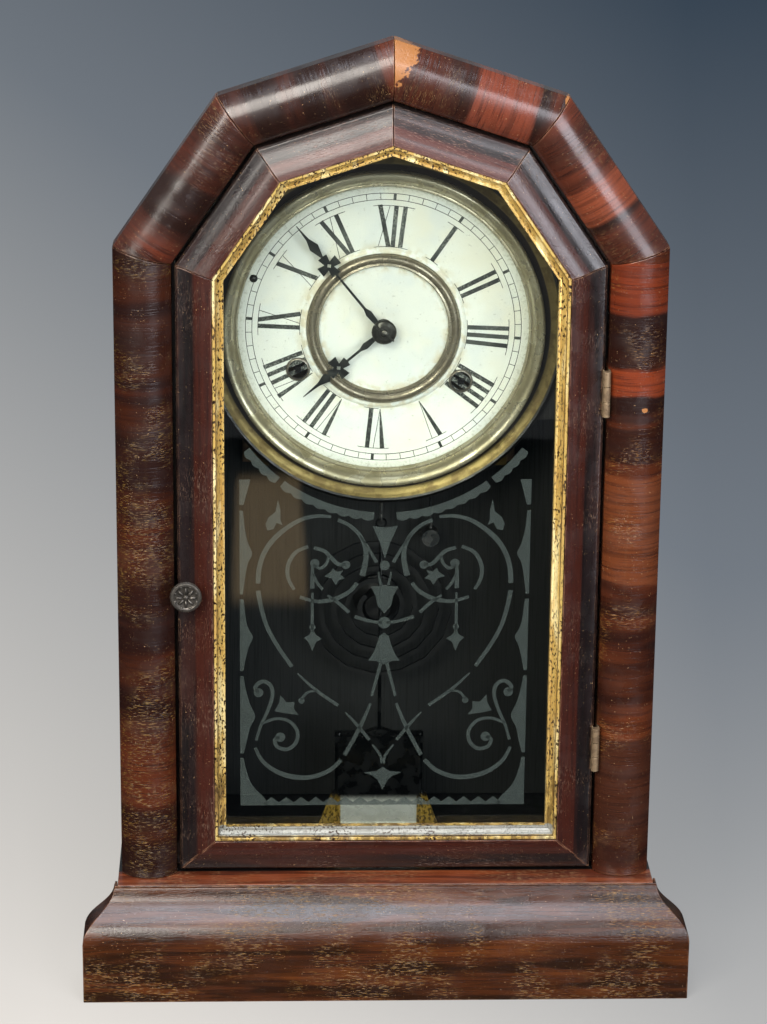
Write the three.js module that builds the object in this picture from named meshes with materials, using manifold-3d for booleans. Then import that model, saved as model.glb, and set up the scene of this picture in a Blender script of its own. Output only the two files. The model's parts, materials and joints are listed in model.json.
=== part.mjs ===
// Ogee shelf clock, in millimetres, +Z up, the door facing -Y.
// The origin is at the middle of the base's underside. The plane y = 0 lies just behind the round of the columns
// while the pieces are made, and the group is then moved along y so that the clock's box is centred.
import * as THREE from "three";
import { mergeVertices } from "three/addons/utils/BufferGeometryUtils.js";
import Module from "manifold-3d";

const wasm = await Module();
wasm.setup();

// ---------------------------------------------------------------- driving dimensions
const GLUE = 0.2; // gap left at a glued or seated joint
const PLAY = 0.35; // gap left round a piece that moves

// Outline of the front: two straight sides and an arch of four straight lengths.
const BODY_HALF = 117.7; // half the width of the front
const SPRING_Z = 337.5; // height at which the arch starts
const SHOULDER_X = 73.7; // half the width between the arch's middle corners
const SHOULDER_RISE = 64.0; // height of those corners above the spring line
const APEX_RISE = 88.1; // height of the point above the spring line
const BODY_SET_IN = 16.0; // how far the box behind the front mouldings stands inside their outline
const BODY_DEPTH = 92.0; // from the plane y = 0 to the back
const BOARD = 10.0; // thickness of sides and roof
const BACK_THICK = 5.6; // back board

// Base.
const BASE_TOP = 50.0;
const BASE_SHOULDER = 27.8; // height of the upright face
const BASE_SIDE = 16.7; // how far the foot stands out at each side of the columns
const BASE_FRONT = 29.5; // how far the foot stands in front of the plane y = 0
const OGEE_PROJECTION = 13.9; // from the top edge out to the foot
const BASE_WALL = 18.0; // thickness of the base moulding
const BASE_RETURN = 20.0; // length of its returned ends
const BASE_BOARD = 12.0; // thickness of the base's plain sides behind it
const LEDGE = 3.0; // width of the ledge that carries the floor
const FLOOR_THICK = 8.0;
const BASE_FILLET = 1.0; // height of the upright fillet above the ogee

// Half-round front moulding: columns and arch.
const MOULD_WIDTH = 24.6;
const MOULD_CREST = 8.0; // how far the crest stands in front of the plane y = 0
const MOULD_EDGE = 1.0; // flat edge at either side of the round
const MOULD_BACK = 8.0; // how far the moulding reaches behind that plane
const ROUND_STEPS = 12;

// Door.
const DOOR_GAP = 1.6; // between door and moulding
const DOOR_FLOOR_GAP = 2.0; // between door and case floor
const RAIL_WIDTH = 15.4;
const DOOR_BACK = 8.0;
const RAIL_EDGE = 1.2; // how far the outer edge of the frame stands in front of the plane y = 0
const RAIL_CREST = 7.0; // how far its inner edge stands out
const RABBET = 4.3; // width of the seat for the glass
const GLASS_THICK = 2.0;
const GLASS_FRONT = 1.8;
const SLIP_WIDTH = 4.8;
const SLIP_FRONT = 6.2;

// Hinges, on the right.
const KNUCKLE_R = 1.7;
const PIN_R = 0.8;
const LEAF_THICK = 0.6;
const LEAF_BACK = 6.5; // how far back a leaf reaches
const HINGE_Y = -4.8;
const HINGE_LENGTH = 20.0;
const KNUCKLE_MIDDLE = 6.8;
const HINGE_HEIGHTS = { upper: 273.8, lower: 110.1 };

// Knob and latch, on the left stile.
const KNOB_R = 6.9;
const KNOB_FACE = 15.0; // how far its face stands out
const KNOB_Z = 185.4;
const KNOB_NECK_R = 3.0;
const KNOB_FOOT_R = 4.2;
const KNOB_INSET = 3.7; // from the door's outer edge to the spindle
const SPINDLE_R = 2.0;
const TONGUE_LENGTH = 10.0;
const TONGUE_EYE = 1.1; // metal round the spindle, beyond the tongue's own half width
const TONGUE_ROOM = 1.0; // room round the turned tongue in its pocket
const TONGUE_HALF = 2.5;
const TONGUE_THICK = 1.4;

// Dial, centred on the hand arbor.
const AXIS_X = -1.8;
const AXIS_DROP = 45.5; // below the height at which the arch starts
const DIAL_Y = 35.6; // front of the dial plate
const DIAL_THICK = 1.0;
const DIAL_R = 79.6;
const DIAL_RIM = 4.2; // width of the rolled edge
const DIAL_RIM_HEIGHT = 2.4;
const BEZEL_IN = 63.5;
const BEZEL_OUT = 70.4;
const BEZEL_HEIGHT = 7.2;
const RING_IN = 28.2;
const RING_OUT = 33.6;
const RING_HEIGHT = 3.2;
const CENTRE_HOLE_R = 4.2;
const GROMMET_R = 5.1;
const GROMMET_HOLE_R = 3.9;
const GROMMET_WALL = 0.3;
const GROMMET_HEIGHT = 0.7;

// Winding arbors: their distance from the hand arbor, how far they drop, and the turn of the whole dial.
const WIND_R = 41.6;
const WIND_DROP = THREE.MathUtils.degToRad(30.7);
const DIAL_TURN = THREE.MathUtils.degToRad(4.3);

// Hands. Angles run clockwise from twelve.
const HAND_THICK = 0.7;
const MINUTE_LENGTH = 60.6;
const MINUTE_CROSS = 38.0;
const MINUTE_LEAF = 48.5;
const MINUTE_ANGLE = THREE.MathUtils.degToRad(320.9);
const HOUR_LENGTH = 46.0;
const HOUR_CROSS = 25.8;
const HOUR_LEAF = 32.6;
const HOUR_ANGLE = THREE.MathUtils.degToRad(229.5);
const CROSS_ARM = 4.8;
const HUB_WALL = 1.7; // metal round the hole of a hand
const HAND_SWELL_Z = 10.6; // where the stem is widest
const HOUR_Y = 30.9; // front face of the hour hand
const MINUTE_Y = 29.1;
const WASHER_R = 5.5;
const WASHER_HEIGHT = 1.6;
const TAPER_PIN_R = 0.5;
const TAPER_PIN_LENGTH = 11.0;
const TAPER_PIN_TURN = THREE.MathUtils.degToRad(40);

// Movement.
const FRONT_PLATE_Y = 50.0;
const BACK_PLATE_Y = 78.0;
const PLATE_THICK = 1.5;
const PLATE_HALF = 56.0;
const PLATE_UP = 72.0; // above the hand arbor
const PLATE_DOWN = 67.0; // below it
const PLATE_CORNER_X = 26.0; // width of a cut-off upper corner
const PLATE_CORNER_Z = 14.0; // height of a cut-off upper corner
const PILLAR_X = 46.0;
const PILLAR_UP = 54.0;
const PILLAR_DOWN = 59.0;
const PILLAR_R = 2.5;
const TENON_R = 1.2;
const PIVOT_R = 0.8;
const PIVOT_FRONT = 0.6; // how far a pivot stands out of the front plate
const PIVOT_BACK = 0.2; // how far it stands out of the back plate
const SMALL_ARBOR_R = 1.1;
const ARBOR_R = 1.6; // hand arbor
const PIPE_WALL = 1.0;
const STUD_R = 1.2; // stud of the minute wheel
const VERGE_STUD_R = 0.9;

// Winding arbors.
const WINDER_R = 2.0;
const WINDER_SQUARE = 2.6;
const COLLAR_R = 4.4;
const COLLAR_THICK = 2.0;
const RATCHET_R = 11.4;
const RATCHET_TOOTH = 2.0;
const RATCHET_THICK = 1.6;
const RATCHET_GAP = 1.4; // between ratchet and great wheel

const TRAIN = { great: 48, centrePinion: 12, centre: 64, thirdPinion: 8, third: 60, escapePinion: 6, escape: 42 };
const MOTION = { cannon: 12, minute: 36, minutePinion: 10, hour: 40 };
const CENTRE_TO_THIRD = 27.0;
const THIRD_X = -11.0;
const THIRD_TO_ESCAPE = 23.76;
const CENTRE_TO_MINUTE = 18.75;
const MINUTE_DIRECTION = THREE.MathUtils.degToRad(200);
const ESCAPE_R = 14.0;
const ESCAPE_TOOTH = 2.2;
const TIP = 0.2; // height of a tooth above the pitch circle, as a share of the pitch
const ROOT = 0.5; // depth of a gap below it
const GREAT_THICK = 2.0;
const WHEEL_THICK = 1.5;
const MOTION_THICK = 1.2; // wheels of the motion work, escape wheel and verge
const CANNON_THICK = 2.0;
const LANTERN_DISC = 0.8; // thickness of a lantern pinion's discs
const SLEEVE_R = 3.6; // sleeve of the centre wheel

// Layers of the movement, front to back.
const HOUR_WHEEL_Y = 43.0;
const MINUTE_WHEEL_Y = 46.0;
const ESCAPE_WHEEL_Y = 46.0;
const THIRD_WHEEL_Y = 61.0;
const GREAT_WHEEL_Y = { time: 66.0, strike: 56.0 };
const CENTRE_WHEEL_Y = 71.0;

// Pendulum and verge.
const PENDULUM_Y = 41.0;
const SUSPENSION_Z = 69.0; // above the hand arbor
const VERGE_Z = 66.0; // above the hand arbor
const LEADER_R = 0.8;
const BOW = 10.0; // sideways bow of the leader round the hand arbor
const BOW_REACH = 38.0; // how far above and below the hand arbor the bow starts
const SPRING_HALF = 2.0; // half the width of the flat spring
const SPRING_THICK = 0.4;
const SPRING_LENGTH = 18.0;
const HOOK_Z = 202.0;
const HOOK_R = 1.6;
const EYE_R = 2.2;
const EYE_WIRE = 0.45;
const BOB_BOTTOM = 54.5;
const BOB_HEIGHT = 48.0;
const BOB_HALF = 18.6; // half the width of the silvered panel
const BOB_WING = 9.0; // how far a side bracket stands out
const BOB_THICK = 8.0;
const BOB_POST_R = 1.5;
const BOB_CROWN = 12.0; // half the width of the crown at its foot
const FORK_DROP = 24.0; // crutch fork below the verge's pivot

// Gong and hammer.
const GONG_Z = 150.0;
const GONG_Y = 72.0;
const GONG_IN = 7.6;
const GONG_OUT = 36.0;
const GONG_PITCH = 6.0;
const GONG_WIRE = 2.2;
const GONG_WIRE_DEPTH = 1.6;
const GONG_STEPS = 16; // steps in one turn
const STAND_R = 6.0;
const STAND_FOOT_R = 11.0;
const HAMMER_Z = -60.0; // height of its arbor, from the hand arbor
const HAMMER_HEAD_R = 4.0;
const HAMMER_HEAD_LENGTH = 7.0;
const STRIKE_ANGLE = THREE.MathUtils.degToRad(55);

// Boards inside the case.
const DIAL_BOARD_THICK = 8.0;
const DIAL_BOARD_DROP = 42.0; // how far the legs reach below the hand arbor
const LEG_INNER = 54.0; // half the width between the legs
const BRIDGE_CLEAR = 12.0; // from the pendulum's suspension up to the bridge
const BRIDGE_CORNER_X = 20.0; // width of a corner under the bridge
const BRIDGE_CORNER_Z = 22.0; // height of a corner under the bridge
const SEAT_SIDE = 6.0; // how far the movement board stands out beside the plates
const SEAT_DOWN = 8.0; // how far it stands out below them
const SEAT_UP = 16.0; // how far it ends below their top
const SEAT_GAP = 0.5; // between the board and the back plate

// Measures that follow from the ones above.
const BASE_HALF = BODY_HALF + BASE_SIDE; // half the width at the foot
const AXIS_Z = SPRING_Z - AXIS_DROP; // height of the hand arbor
const RUNS = ["left_lower", "left_upper", "right_upper", "right_lower"]; // lengths of the arch

// ---------------------------------------------------------------- materials
const paint = (color, roughness, metalness = 0) => new THREE.MeshStandardMaterial({ color, roughness, metalness });
const rosewood = paint(0x4a2018, 0.45);
const doorWood = paint(0x33201e, 0.4);
const pine = paint(0x8a6236, 0.75);
const darkBoard = paint(0x16120f, 0.8);
const gilt = paint(0xc59a44, 0.4, 0.8);
const glass = paint(0x2a3032, 0.05);
const brass = paint(0xa39463, 0.35, 1);
const dullBrass = paint(0x8a6f45, 0.5, 1);
const steel = paint(0x5c6066, 0.4, 1);
const blackSteel = paint(0x1a1918, 0.5, 0.6);
const pewter = paint(0x55524e, 0.45, 0.9);
const dialPaint = paint(0xdfe5de, 0.5);
const silvered = paint(0xc9ccc8, 0.25, 0.9);

// ---------------------------------------------------------------- solids
/** Turns the faces of a welded geometry outwards. */
function outward(geometry) {
  const corner = (i) => new THREE.Vector3().fromBufferAttribute(geometry.attributes.position, i);
  const faces = Array.from(geometry.index.array);
  let volume = 0;
  for (let i = 0; i < faces.length; i += 3) {
    volume += corner(faces[i]).dot(corner(faces[i + 1]).cross(corner(faces[i + 2])));
  }
  if (volume < 0) geometry.setIndex(faces.reverse());
  return geometry;
}

/** Welds a geometry, drops the triangles without area and turns its faces outwards. */
function closed(source) {
  const bare = source.clone();
  for (const name of Object.keys(bare.attributes)) {
    if (name !== "position") bare.deleteAttribute(name);
  }
  const welded = mergeVertices(bare, 1e-4);
  const kept = [];
  const all = welded.index.array;
  for (let i = 0; i < all.length; i += 3) {
    const [a, b, c] = [all[i], all[i + 1], all[i + 2]];
    if (a !== b && b !== c && c !== a) kept.push(a, b, c);
  }
  welded.setIndex(kept);
  return outward(welded);
}

/** A geometry as a solid that can be joined and cut. */
function solid(geometry) {
  const welded = closed(geometry);
  const vertProperties = new Float32Array(welded.attributes.position.array);
  const triVerts = new Uint32Array(welded.index.array);
  return new wasm.Manifold(new wasm.Mesh({ numProp: 3, vertProperties, triVerts }));
}

/** A solid as a geometry. */
function surface(body) {
  const mesh = body.getMesh();
  const geometry = new THREE.BufferGeometry();
  geometry.setAttribute("position", new THREE.BufferAttribute(new Float32Array(mesh.vertProperties), 3));
  geometry.setIndex(Array.from(mesh.triVerts));
  return geometry;
}

const join = (...parts) => surface(parts.map(solid).reduce((sum, next) => sum.add(next)));
const cut = (body, ...tools) => surface(tools.map(solid).reduce((rest, tool) => rest.subtract(tool), solid(body)));

// ---------------------------------------------------------------- plain forms
/** A box between two corners. */
function block(x0, x1, y0, y1, z0, z1) {
  const box = new THREE.BoxGeometry(x1 - x0, y1 - y0, z1 - z0);
  return box.translate((x0 + x1) / 2, (y0 + y1) / 2, (z0 + z1) / 2);
}

/** A round form turned about a front-to-back axis; the profile is a list of [radius, y]. */
function turned(profile, x = 0, z = 0, segments = 24) {
  const lathe = new THREE.LatheGeometry(profile.map(([r, y]) => new THREE.Vector2(r, y)), segments);
  return closed(lathe).translate(x, 0, z);
}

/** A rod of radius r from y0 to y1. */
function rod(r, y0, y1, x = 0, z = 0, segments = 10) {
  return turned([[0, y0], [r, y0], [r, y1], [0, y1]], x, z, segments);
}

/** An upright rod of radius r. */
function upright(r, x, y, z0, z1, segments = 16) {
  const cylinder = new THREE.CylinderGeometry(r, r, z1 - z0, segments).rotateX(Math.PI / 2);
  return closed(cylinder).translate(x, y, (z0 + z1) / 2);
}

/** A flat outline of [x, z] points, with a thickness from y0 to y1. */
function sheet(points, y0, y1, holes = []) {
  const shape = new THREE.Shape(points.map(([x, z]) => new THREE.Vector2(x, z)));
  for (const hole of holes) {
    shape.holes.push(new THREE.Path(hole.map(([x, z]) => new THREE.Vector2(x, z))));
  }
  const prism = new THREE.ExtrudeGeometry(shape, { depth: y1 - y0, bevelEnabled: false });
  return closed(prism.rotateX(Math.PI / 2).translate(0, y1, 0));
}

/** A wire of radius r along a smooth curve through points. */
function wire(points, r, steps) {
  const path = new THREE.CatmullRomCurve3(points.map((p) => new THREE.Vector3(...p)), false, "centripetal");
  const section = new THREE.Shape();
  section.absarc(0, 0, r, 0, 2 * Math.PI);
  const settings = { steps, extrudePath: path, curveSegments: 3, bevelEnabled: false };
  return closed(new THREE.ExtrudeGeometry(section, settings));
}

/** A skin over equal rings of points; closed on itself or with an end cap at each side. */
function skin(rings, cap) {
  const count = rings[0].length;
  const points = rings.flat();
  const faces = [];
  const spans = cap ? rings.length - 1 : rings.length;
  for (let i = 0; i < spans; i += 1) {
    const here = i * count;
    const there = ((i + 1) % rings.length) * count;
    for (let k = 0; k < count; k += 1) {
      const next = (k + 1) % count;
      faces.push(here + k, there + k, there + next, here + k, there + next, here + next);
    }
  }
  if (cap) {
    const last = (rings.length - 1) * count;
    const flat = cap.map(([u, v]) => new THREE.Vector2(u, v));
    for (const triangle of THREE.ShapeUtils.triangulateShape(flat, [])) {
      const [a, b, c] = THREE.ShapeUtils.isClockWise(flat) ? triangle.reverse() : triangle;
      faces.push(a, b, c, last + c, last + b, last + a);
    }
  }
  const geometry = new THREE.BufferGeometry();
  geometry.setAttribute("position", new THREE.Float32BufferAttribute(points.flat(), 3));
  geometry.setIndex(faces);
  return outward(geometry);
}

// ---------------------------------------------------------------- mouldings on an outline
/** Where two lines cross, each given by a point and a direction. */
function crossing([p, d], [q, e]) {
  const t = ((q[0] - p[0]) * e[1] - (q[1] - p[1]) * e[0]) / (d[0] * e[1] - d[1] * e[0]);
  return [p[0] + d[0] * t, p[1] + d[1] * t];
}

/** A line through two points, moved to its right-hand side by inset. */
function offsetLine(a, b, inset) {
  const length = Math.hypot(b[0] - a[0], b[1] - a[1]);
  const direction = [(b[0] - a[0]) / length, (b[1] - a[1]) / length];
  return [[a[0] + direction[1] * inset, a[1] - direction[0] * inset], direction];
}

/** The seven corners of the case's front outline, moved in by inset and standing at floor. */
function arch(inset, floor) {
  const side = [[-BODY_HALF, 0], [-BODY_HALF, SPRING_Z]];
  const shoulder = [-SHOULDER_X, SPRING_Z + SHOULDER_RISE];
  const lines = [
    offsetLine(...side, inset),
    offsetLine(side[1], shoulder, inset),
    offsetLine(shoulder, [0, SPRING_Z + APEX_RISE], inset),
    [[0, 0], [0, 1]],
  ];
  const left = [0, 1, 2].map((i) => crossing(lines[i], lines[i + 1]));
  const corners = [[-BODY_HALF + inset, floor], ...left];
  return [...corners, ...corners.slice(0, 3).reverse().map(([x, z]) => [-x, z])];
}

/** One straight length of moulding between corner `from` and corner `to` of an outline.
 *  The section is a list of [inset, depth]; `outline` gives the corners for an inset; trims pull the ends back. */
function moulding(outline, from, to, section, trimFrom, trimTo, place) {
  const ends = [[from, to, trimFrom], [to, from, trimTo]];
  const rings = ends.map(([near, far, trim]) =>
    section.map(([inset, depth]) => {
      const corners = outline(inset);
      const [a, b] = [corners[near], corners[far]];
      const length = Math.hypot(b[0] - a[0], b[1] - a[1]);
      return place(a[0] + ((b[0] - a[0]) / length) * trim, a[1] + ((b[1] - a[1]) / length) * trim, depth);
    }),
  );
  return skin(rings, section);
}

const facing = (x, z, depth) => [x, depth, z]; // an outline seen from the front
const lying = (x, y, height) => [x, y, height]; // an outline seen from above

/** The section at every corner of an outline. */
function mitredRings(outline, section, place) {
  return outline(0).map((_, corner) =>
    section.map(([inset, depth]) => {
      const [a, b] = outline(inset)[corner];
      return place(a, b, depth);
    }),
  );
}

// ---------------------------------------------------------------- the clock's pieces
const clock = new THREE.Group();
clock.position.y = (BASE_FRONT - BODY_DEPTH) / 2;

/** Adds one piece to the clock. */
function piece(name, material, geometry) {
  const mesh = new THREE.Mesh(closed(geometry), material);
  mesh.name = name;
  clock.add(mesh);
}

/** The base: an ogee moulding with returned ends, the floor in its rabbet, and plain sides under the floor. */
function addBase() {
  const ogee = new THREE.CubicBezierCurve(
    new THREE.Vector2(OGEE_PROJECTION - 0.3, BASE_TOP - BASE_FILLET - 0.4),
    new THREE.Vector2(OGEE_PROJECTION - 1, BASE_TOP - 10),
    new THREE.Vector2(0.3, BASE_SHOULDER + 10.2),
    new THREE.Vector2(0, BASE_SHOULDER),
  );
  const ledgeZ = BASE_TOP - FLOOR_THICK - GLUE;
  const floorInset = BASE_WALL - LEDGE;
  const section = [
    [0, 0],
    [BASE_WALL, 0],
    [BASE_WALL, ledgeZ],
    [floorInset, ledgeZ],
    [floorInset, BASE_TOP],
    [OGEE_PROJECTION, BASE_TOP],
    [OGEE_PROJECTION, BASE_TOP - BASE_FILLET],
    ...ogee.getPoints(ROUND_STEPS).map((p) => [p.x, p.y]),
  ];
  const end = -BASE_FRONT + BASE_RETURN;
  const plan = (inset) => [
    [-BASE_HALF + inset, end],
    [-BASE_HALF + inset, -BASE_FRONT + inset],
    [BASE_HALF - inset, -BASE_FRONT + inset],
    [BASE_HALF - inset, end],
  ];
  piece("base_front_moulding", rosewood, skin(mitredRings(plan, section, lying), section));
  const half = BASE_HALF - floorInset - GLUE;
  const front = -BASE_FRONT + floorInset + GLUE;
  piece("case_floor", rosewood, block(-half, half, front, BODY_DEPTH, BASE_TOP - FLOOR_THICK, BASE_TOP));
  const inner = half - BASE_BOARD;
  piece("base_left_side", rosewood, block(-half, -inner, end + GLUE, BODY_DEPTH, 0, ledgeZ));
  piece("base_right_side", rosewood, block(inner, half, end + GLUE, BODY_DEPTH, 0, ledgeZ));
}

const backFace = BODY_DEPTH - GLUE - BACK_THICK; // front of the back board
const mouldInner = BODY_HALF - MOULD_WIDTH; // inner edge of a column
const doorEdge = mouldInner - DOOR_GAP; // outer edge of the door
const knobX = -doorEdge + KNOB_INSET;
const hingeX = (mouldInner + doorEdge) / 2;
const hinges = Object.entries(HINGE_HEIGHTS).map(([name, middle]) => ({ name, z: middle - HINGE_LENGTH / 2 }));

/** Sides, roof boards and back of the box; the left side has a pocket that the latch turns into. */
function addCarcass() {
  const outline = (inset) => arch(BODY_SET_IN + inset, BASE_TOP + GLUE);
  const front = MOULD_BACK + GLUE;
  const section = [[0, front], [BOARD, front], [BOARD, BODY_DEPTH], [0, BODY_DEPTH]];
  const trim = GLUE / 2;
  const pocket = block(
    knobX - TONGUE_LENGTH - TONGUE_ROOM, -BODY_HALF + BODY_SET_IN + BOARD + TONGUE_ROOM,
    front - TONGUE_ROOM, DOOR_BACK + TONGUE_THICK + TONGUE_ROOM,
    KNOB_Z - TONGUE_LENGTH - TONGUE_ROOM, KNOB_Z + TONGUE_HALF + TONGUE_ROOM,
  );
  piece("left_side_board", rosewood, cut(moulding(outline, 0, 1, section, 0, trim, facing), pocket));
  piece("right_side_board", rosewood, moulding(outline, 5, 6, section, trim, 0, facing));
  RUNS.forEach((run, i) => {
    piece(`roof_board_${run}`, rosewood, moulding(outline, i + 1, i + 2, section, trim, trim, facing));
  });
  piece("back_board", pine, sheet(outline(BOARD + GLUE), backFace, backFace + BACK_THICK));
}

/** Half-round section over a flat back. */
function mouldSection() {
  const half = MOULD_WIDTH / 2;
  const rise = MOULD_CREST - MOULD_EDGE;
  const radius = (half * half + rise * rise) / (2 * rise);
  const round = [];
  for (let i = 0; i <= ROUND_STEPS; i += 1) {
    const x = -half + (2 * half * i) / ROUND_STEPS;
    round.push([half + x, -MOULD_EDGE - (Math.sqrt(radius * radius - x * x) - (radius - rise))]);
  }
  return [[0, MOULD_BACK], ...round, [MOULD_WIDTH, MOULD_BACK]];
}

/** A pocket for a leaf of each hinge, between two sideways places and starting at depth y. */
function leafPockets(x0, x1, y) {
  const back = LEAF_BACK + GLUE;
  return hinges.map(({ z }) => block(x0, x1, y, back, z - GLUE, z + HINGE_LENGTH + GLUE));
}

/** Columns and arch mouldings; the right column has a pocket for each case leaf. */
function addFrontMouldings() {
  const outline = (inset) => arch(inset, BASE_TOP + GLUE);
  const section = mouldSection();
  const trim = GLUE / 2;
  piece("left_column", rosewood, moulding(outline, 0, 1, section, 0, trim, facing));
  const pockets = leafPockets(mouldInner - GLUE, mouldInner + LEAF_THICK + 2 * GLUE, HINGE_Y);
  piece("right_column", rosewood, cut(moulding(outline, 5, 6, section, trim, 0, facing), ...pockets));
  RUNS.forEach((run, i) => {
    piece(`arch_moulding_${run}`, rosewood, moulding(outline, i + 1, i + 2, section, trim, trim, facing));
  });
}

const doorBottom = BASE_TOP + DOOR_FLOOR_GAP;
const doorOutline = (inset) => arch(MOULD_WIDTH + DOOR_GAP + inset, doorBottom + inset);

/** Door frame of seven mitred lengths, rising in an ogee to its inner edge. */
function addDoorFrame() {
  const rise = new THREE.CubicBezierCurve(
    new THREE.Vector2(0.9, -RAIL_EDGE - 0.9),
    new THREE.Vector2(RAIL_WIDTH * 0.45, -RAIL_EDGE - 1.2),
    new THREE.Vector2(RAIL_WIDTH * 0.55, -RAIL_CREST),
    new THREE.Vector2(RAIL_WIDTH, -RAIL_CREST),
  );
  const seat = GLASS_FRONT - GLUE;
  const section = [
    [0, DOOR_BACK],
    [0, -RAIL_EDGE],
    ...rise.getPoints(8).map((p) => [p.x, p.y]),
    [RAIL_WIDTH, seat],
    [RAIL_WIDTH - RABBET, seat],
    [RAIL_WIDTH - RABBET, DOOR_BACK],
  ];
  const trim = GLUE / 2;
  const length = (from, to) => moulding(doorOutline, from, to, section, trim, trim, facing);
  const spindleHole = rod(SPINDLE_R + PLAY, -RAIL_CREST - 1, DOOR_BACK + 1, knobX, KNOB_Z, 16);
  piece("door_left_stile", doorWood, cut(length(0, 1), spindleHole));
  const pockets = leafPockets(doorEdge - LEAF_THICK - 2 * GLUE, doorEdge + GLUE, HINGE_Y - KNUCKLE_R);
  piece("door_right_stile", doorWood, cut(length(5, 6), ...pockets));
  piece("door_bottom_rail", doorWood, length(6, 0));
  RUNS.forEach((run, i) => piece(`door_rail_${run}`, doorWood, length(i + 1, i + 2)));
}

/** Gilt slip inside the frame, and the glass behind it. */
function addGlazing() {
  const inner = SLIP_WIDTH;
  const section = [
    [0, GLASS_FRONT - GLUE],
    [0, -SLIP_FRONT],
    [1.1, -SLIP_FRONT],
    [1.4, -SLIP_FRONT + 1.2],
    [2.1, -SLIP_FRONT + 3.2],
    [inner - 1.3, -1.9],
    [inner - 1.1, -2.4],
    [inner, -2.4],
    [inner, GLASS_FRONT - GLUE],
  ];
  const slip = (inset) => doorOutline(RAIL_WIDTH + GLUE + inset);
  piece("gilt_slip", gilt, skin(mitredRings(slip, section, facing), null));
  const pane = doorOutline(RAIL_WIDTH - RABBET + GLUE);
  piece("door_glass", glass, sheet(pane, GLASS_FRONT, GLASS_FRONT + GLASS_THICK));
}

/** Butt hinges: the case leaf holds the pin and the outer knuckles, the door leaf the middle one. */
function addHinges() {
  const outer = (HINGE_LENGTH - KNUCKLE_MIDDLE) / 2 - GLUE;
  const leafFront = HINGE_Y + KNUCKLE_R + PLAY;
  for (const { name, z } of hinges) {
    const top = z + HINGE_LENGTH;
    const caseX = mouldInner + GLUE;
    const knuckles = [[z, z + outer], [top - outer, top]];
    const caseParts = knuckles.flatMap(([low, high]) => [
      upright(KNUCKLE_R, hingeX, HINGE_Y, low, high),
      block(caseX, caseX + LEAF_THICK, HINGE_Y, LEAF_BACK, low, high),
    ]);
    const casePlate = block(caseX, caseX + LEAF_THICK, leafFront, LEAF_BACK, z, top);
    const pin = upright(PIN_R, hingeX, HINGE_Y, z + 1, top - 1, 12);
    piece(`${name}_hinge_case_leaf`, dullBrass, join(casePlate, pin, ...caseParts));
    const doorX = doorEdge - GLUE;
    const low = z + outer + 2 * GLUE;
    const high = top - outer - 2 * GLUE;
    const barrel = upright(KNUCKLE_R, hingeX, HINGE_Y, low, high);
    const tab = block(doorX - LEAF_THICK, doorX, HINGE_Y, LEAF_BACK, low, high);
    const doorPlate = block(doorX - LEAF_THICK, doorX, leafFront, LEAF_BACK, z, top);
    const bore = upright(PIN_R + PLAY, hingeX, HINGE_Y, low - 1, high + 1, 12);
    piece(`${name}_hinge_door_leaf`, dullBrass, cut(join(barrel, tab, doorPlate), bore));
  }
}

/** Turned knob on its spindle, and the latch tongue pinned to the spindle's end. */
function addKnob() {
  const shoulder = -RAIL_CREST - PLAY; // clear of the whole face of the stile
  const end = DOOR_BACK + 2 * PLAY + TONGUE_THICK + 0.8;
  const knob = turned(
    [
      [0, -KNOB_FACE + 0.9], [KNOB_R - 2, -KNOB_FACE + 0.6], [KNOB_R - 1.5, -KNOB_FACE],
      [KNOB_R - 0.5, -KNOB_FACE + 0.2], [KNOB_R, -KNOB_FACE + 1.2], [KNOB_R - 0.4, -KNOB_FACE + 3],
      [KNOB_NECK_R + 0.4, -KNOB_FACE + 5], [KNOB_NECK_R, -KNOB_FACE + 6.2], [KNOB_FOOT_R, shoulder - 0.8],
      [KNOB_FOOT_R, shoulder], [SPINDLE_R, shoulder], [SPINDLE_R, end], [0, end],
    ],
    knobX, KNOB_Z,
  );
  piece("door_knob", pewter, knob);
  const y = DOOR_BACK + PLAY;
  const eye = rod(TONGUE_HALF + TONGUE_EYE, y, y + TONGUE_THICK, knobX, KNOB_Z, 20);
  const bar = block(knobX - TONGUE_HALF, knobX + TONGUE_HALF, y, y + TONGUE_THICK, KNOB_Z - TONGUE_LENGTH, KNOB_Z);
  const bore = rod(SPINDLE_R + GLUE, y - 1, y + TONGUE_THICK + 1, knobX, KNOB_Z, 24);
  piece("latch_tongue", dullBrass, cut(join(eye, bar), bore));
}

/** Place of the right (1) or the left (-1) winding arbor, from the hand arbor. */
function windingPlace(side) {
  const x = side * WIND_R * Math.cos(WIND_DROP);
  const z = -WIND_R * Math.sin(WIND_DROP);
  const [c, s] = [Math.cos(DIAL_TURN), Math.sin(DIAL_TURN)];
  return [x * c + z * s, z * c - x * s];
}

const timeArbor = windingPlace(1);
const strikeArbor = windingPlace(-1);
const dialBack = DIAL_Y + DIAL_THICK;

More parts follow.
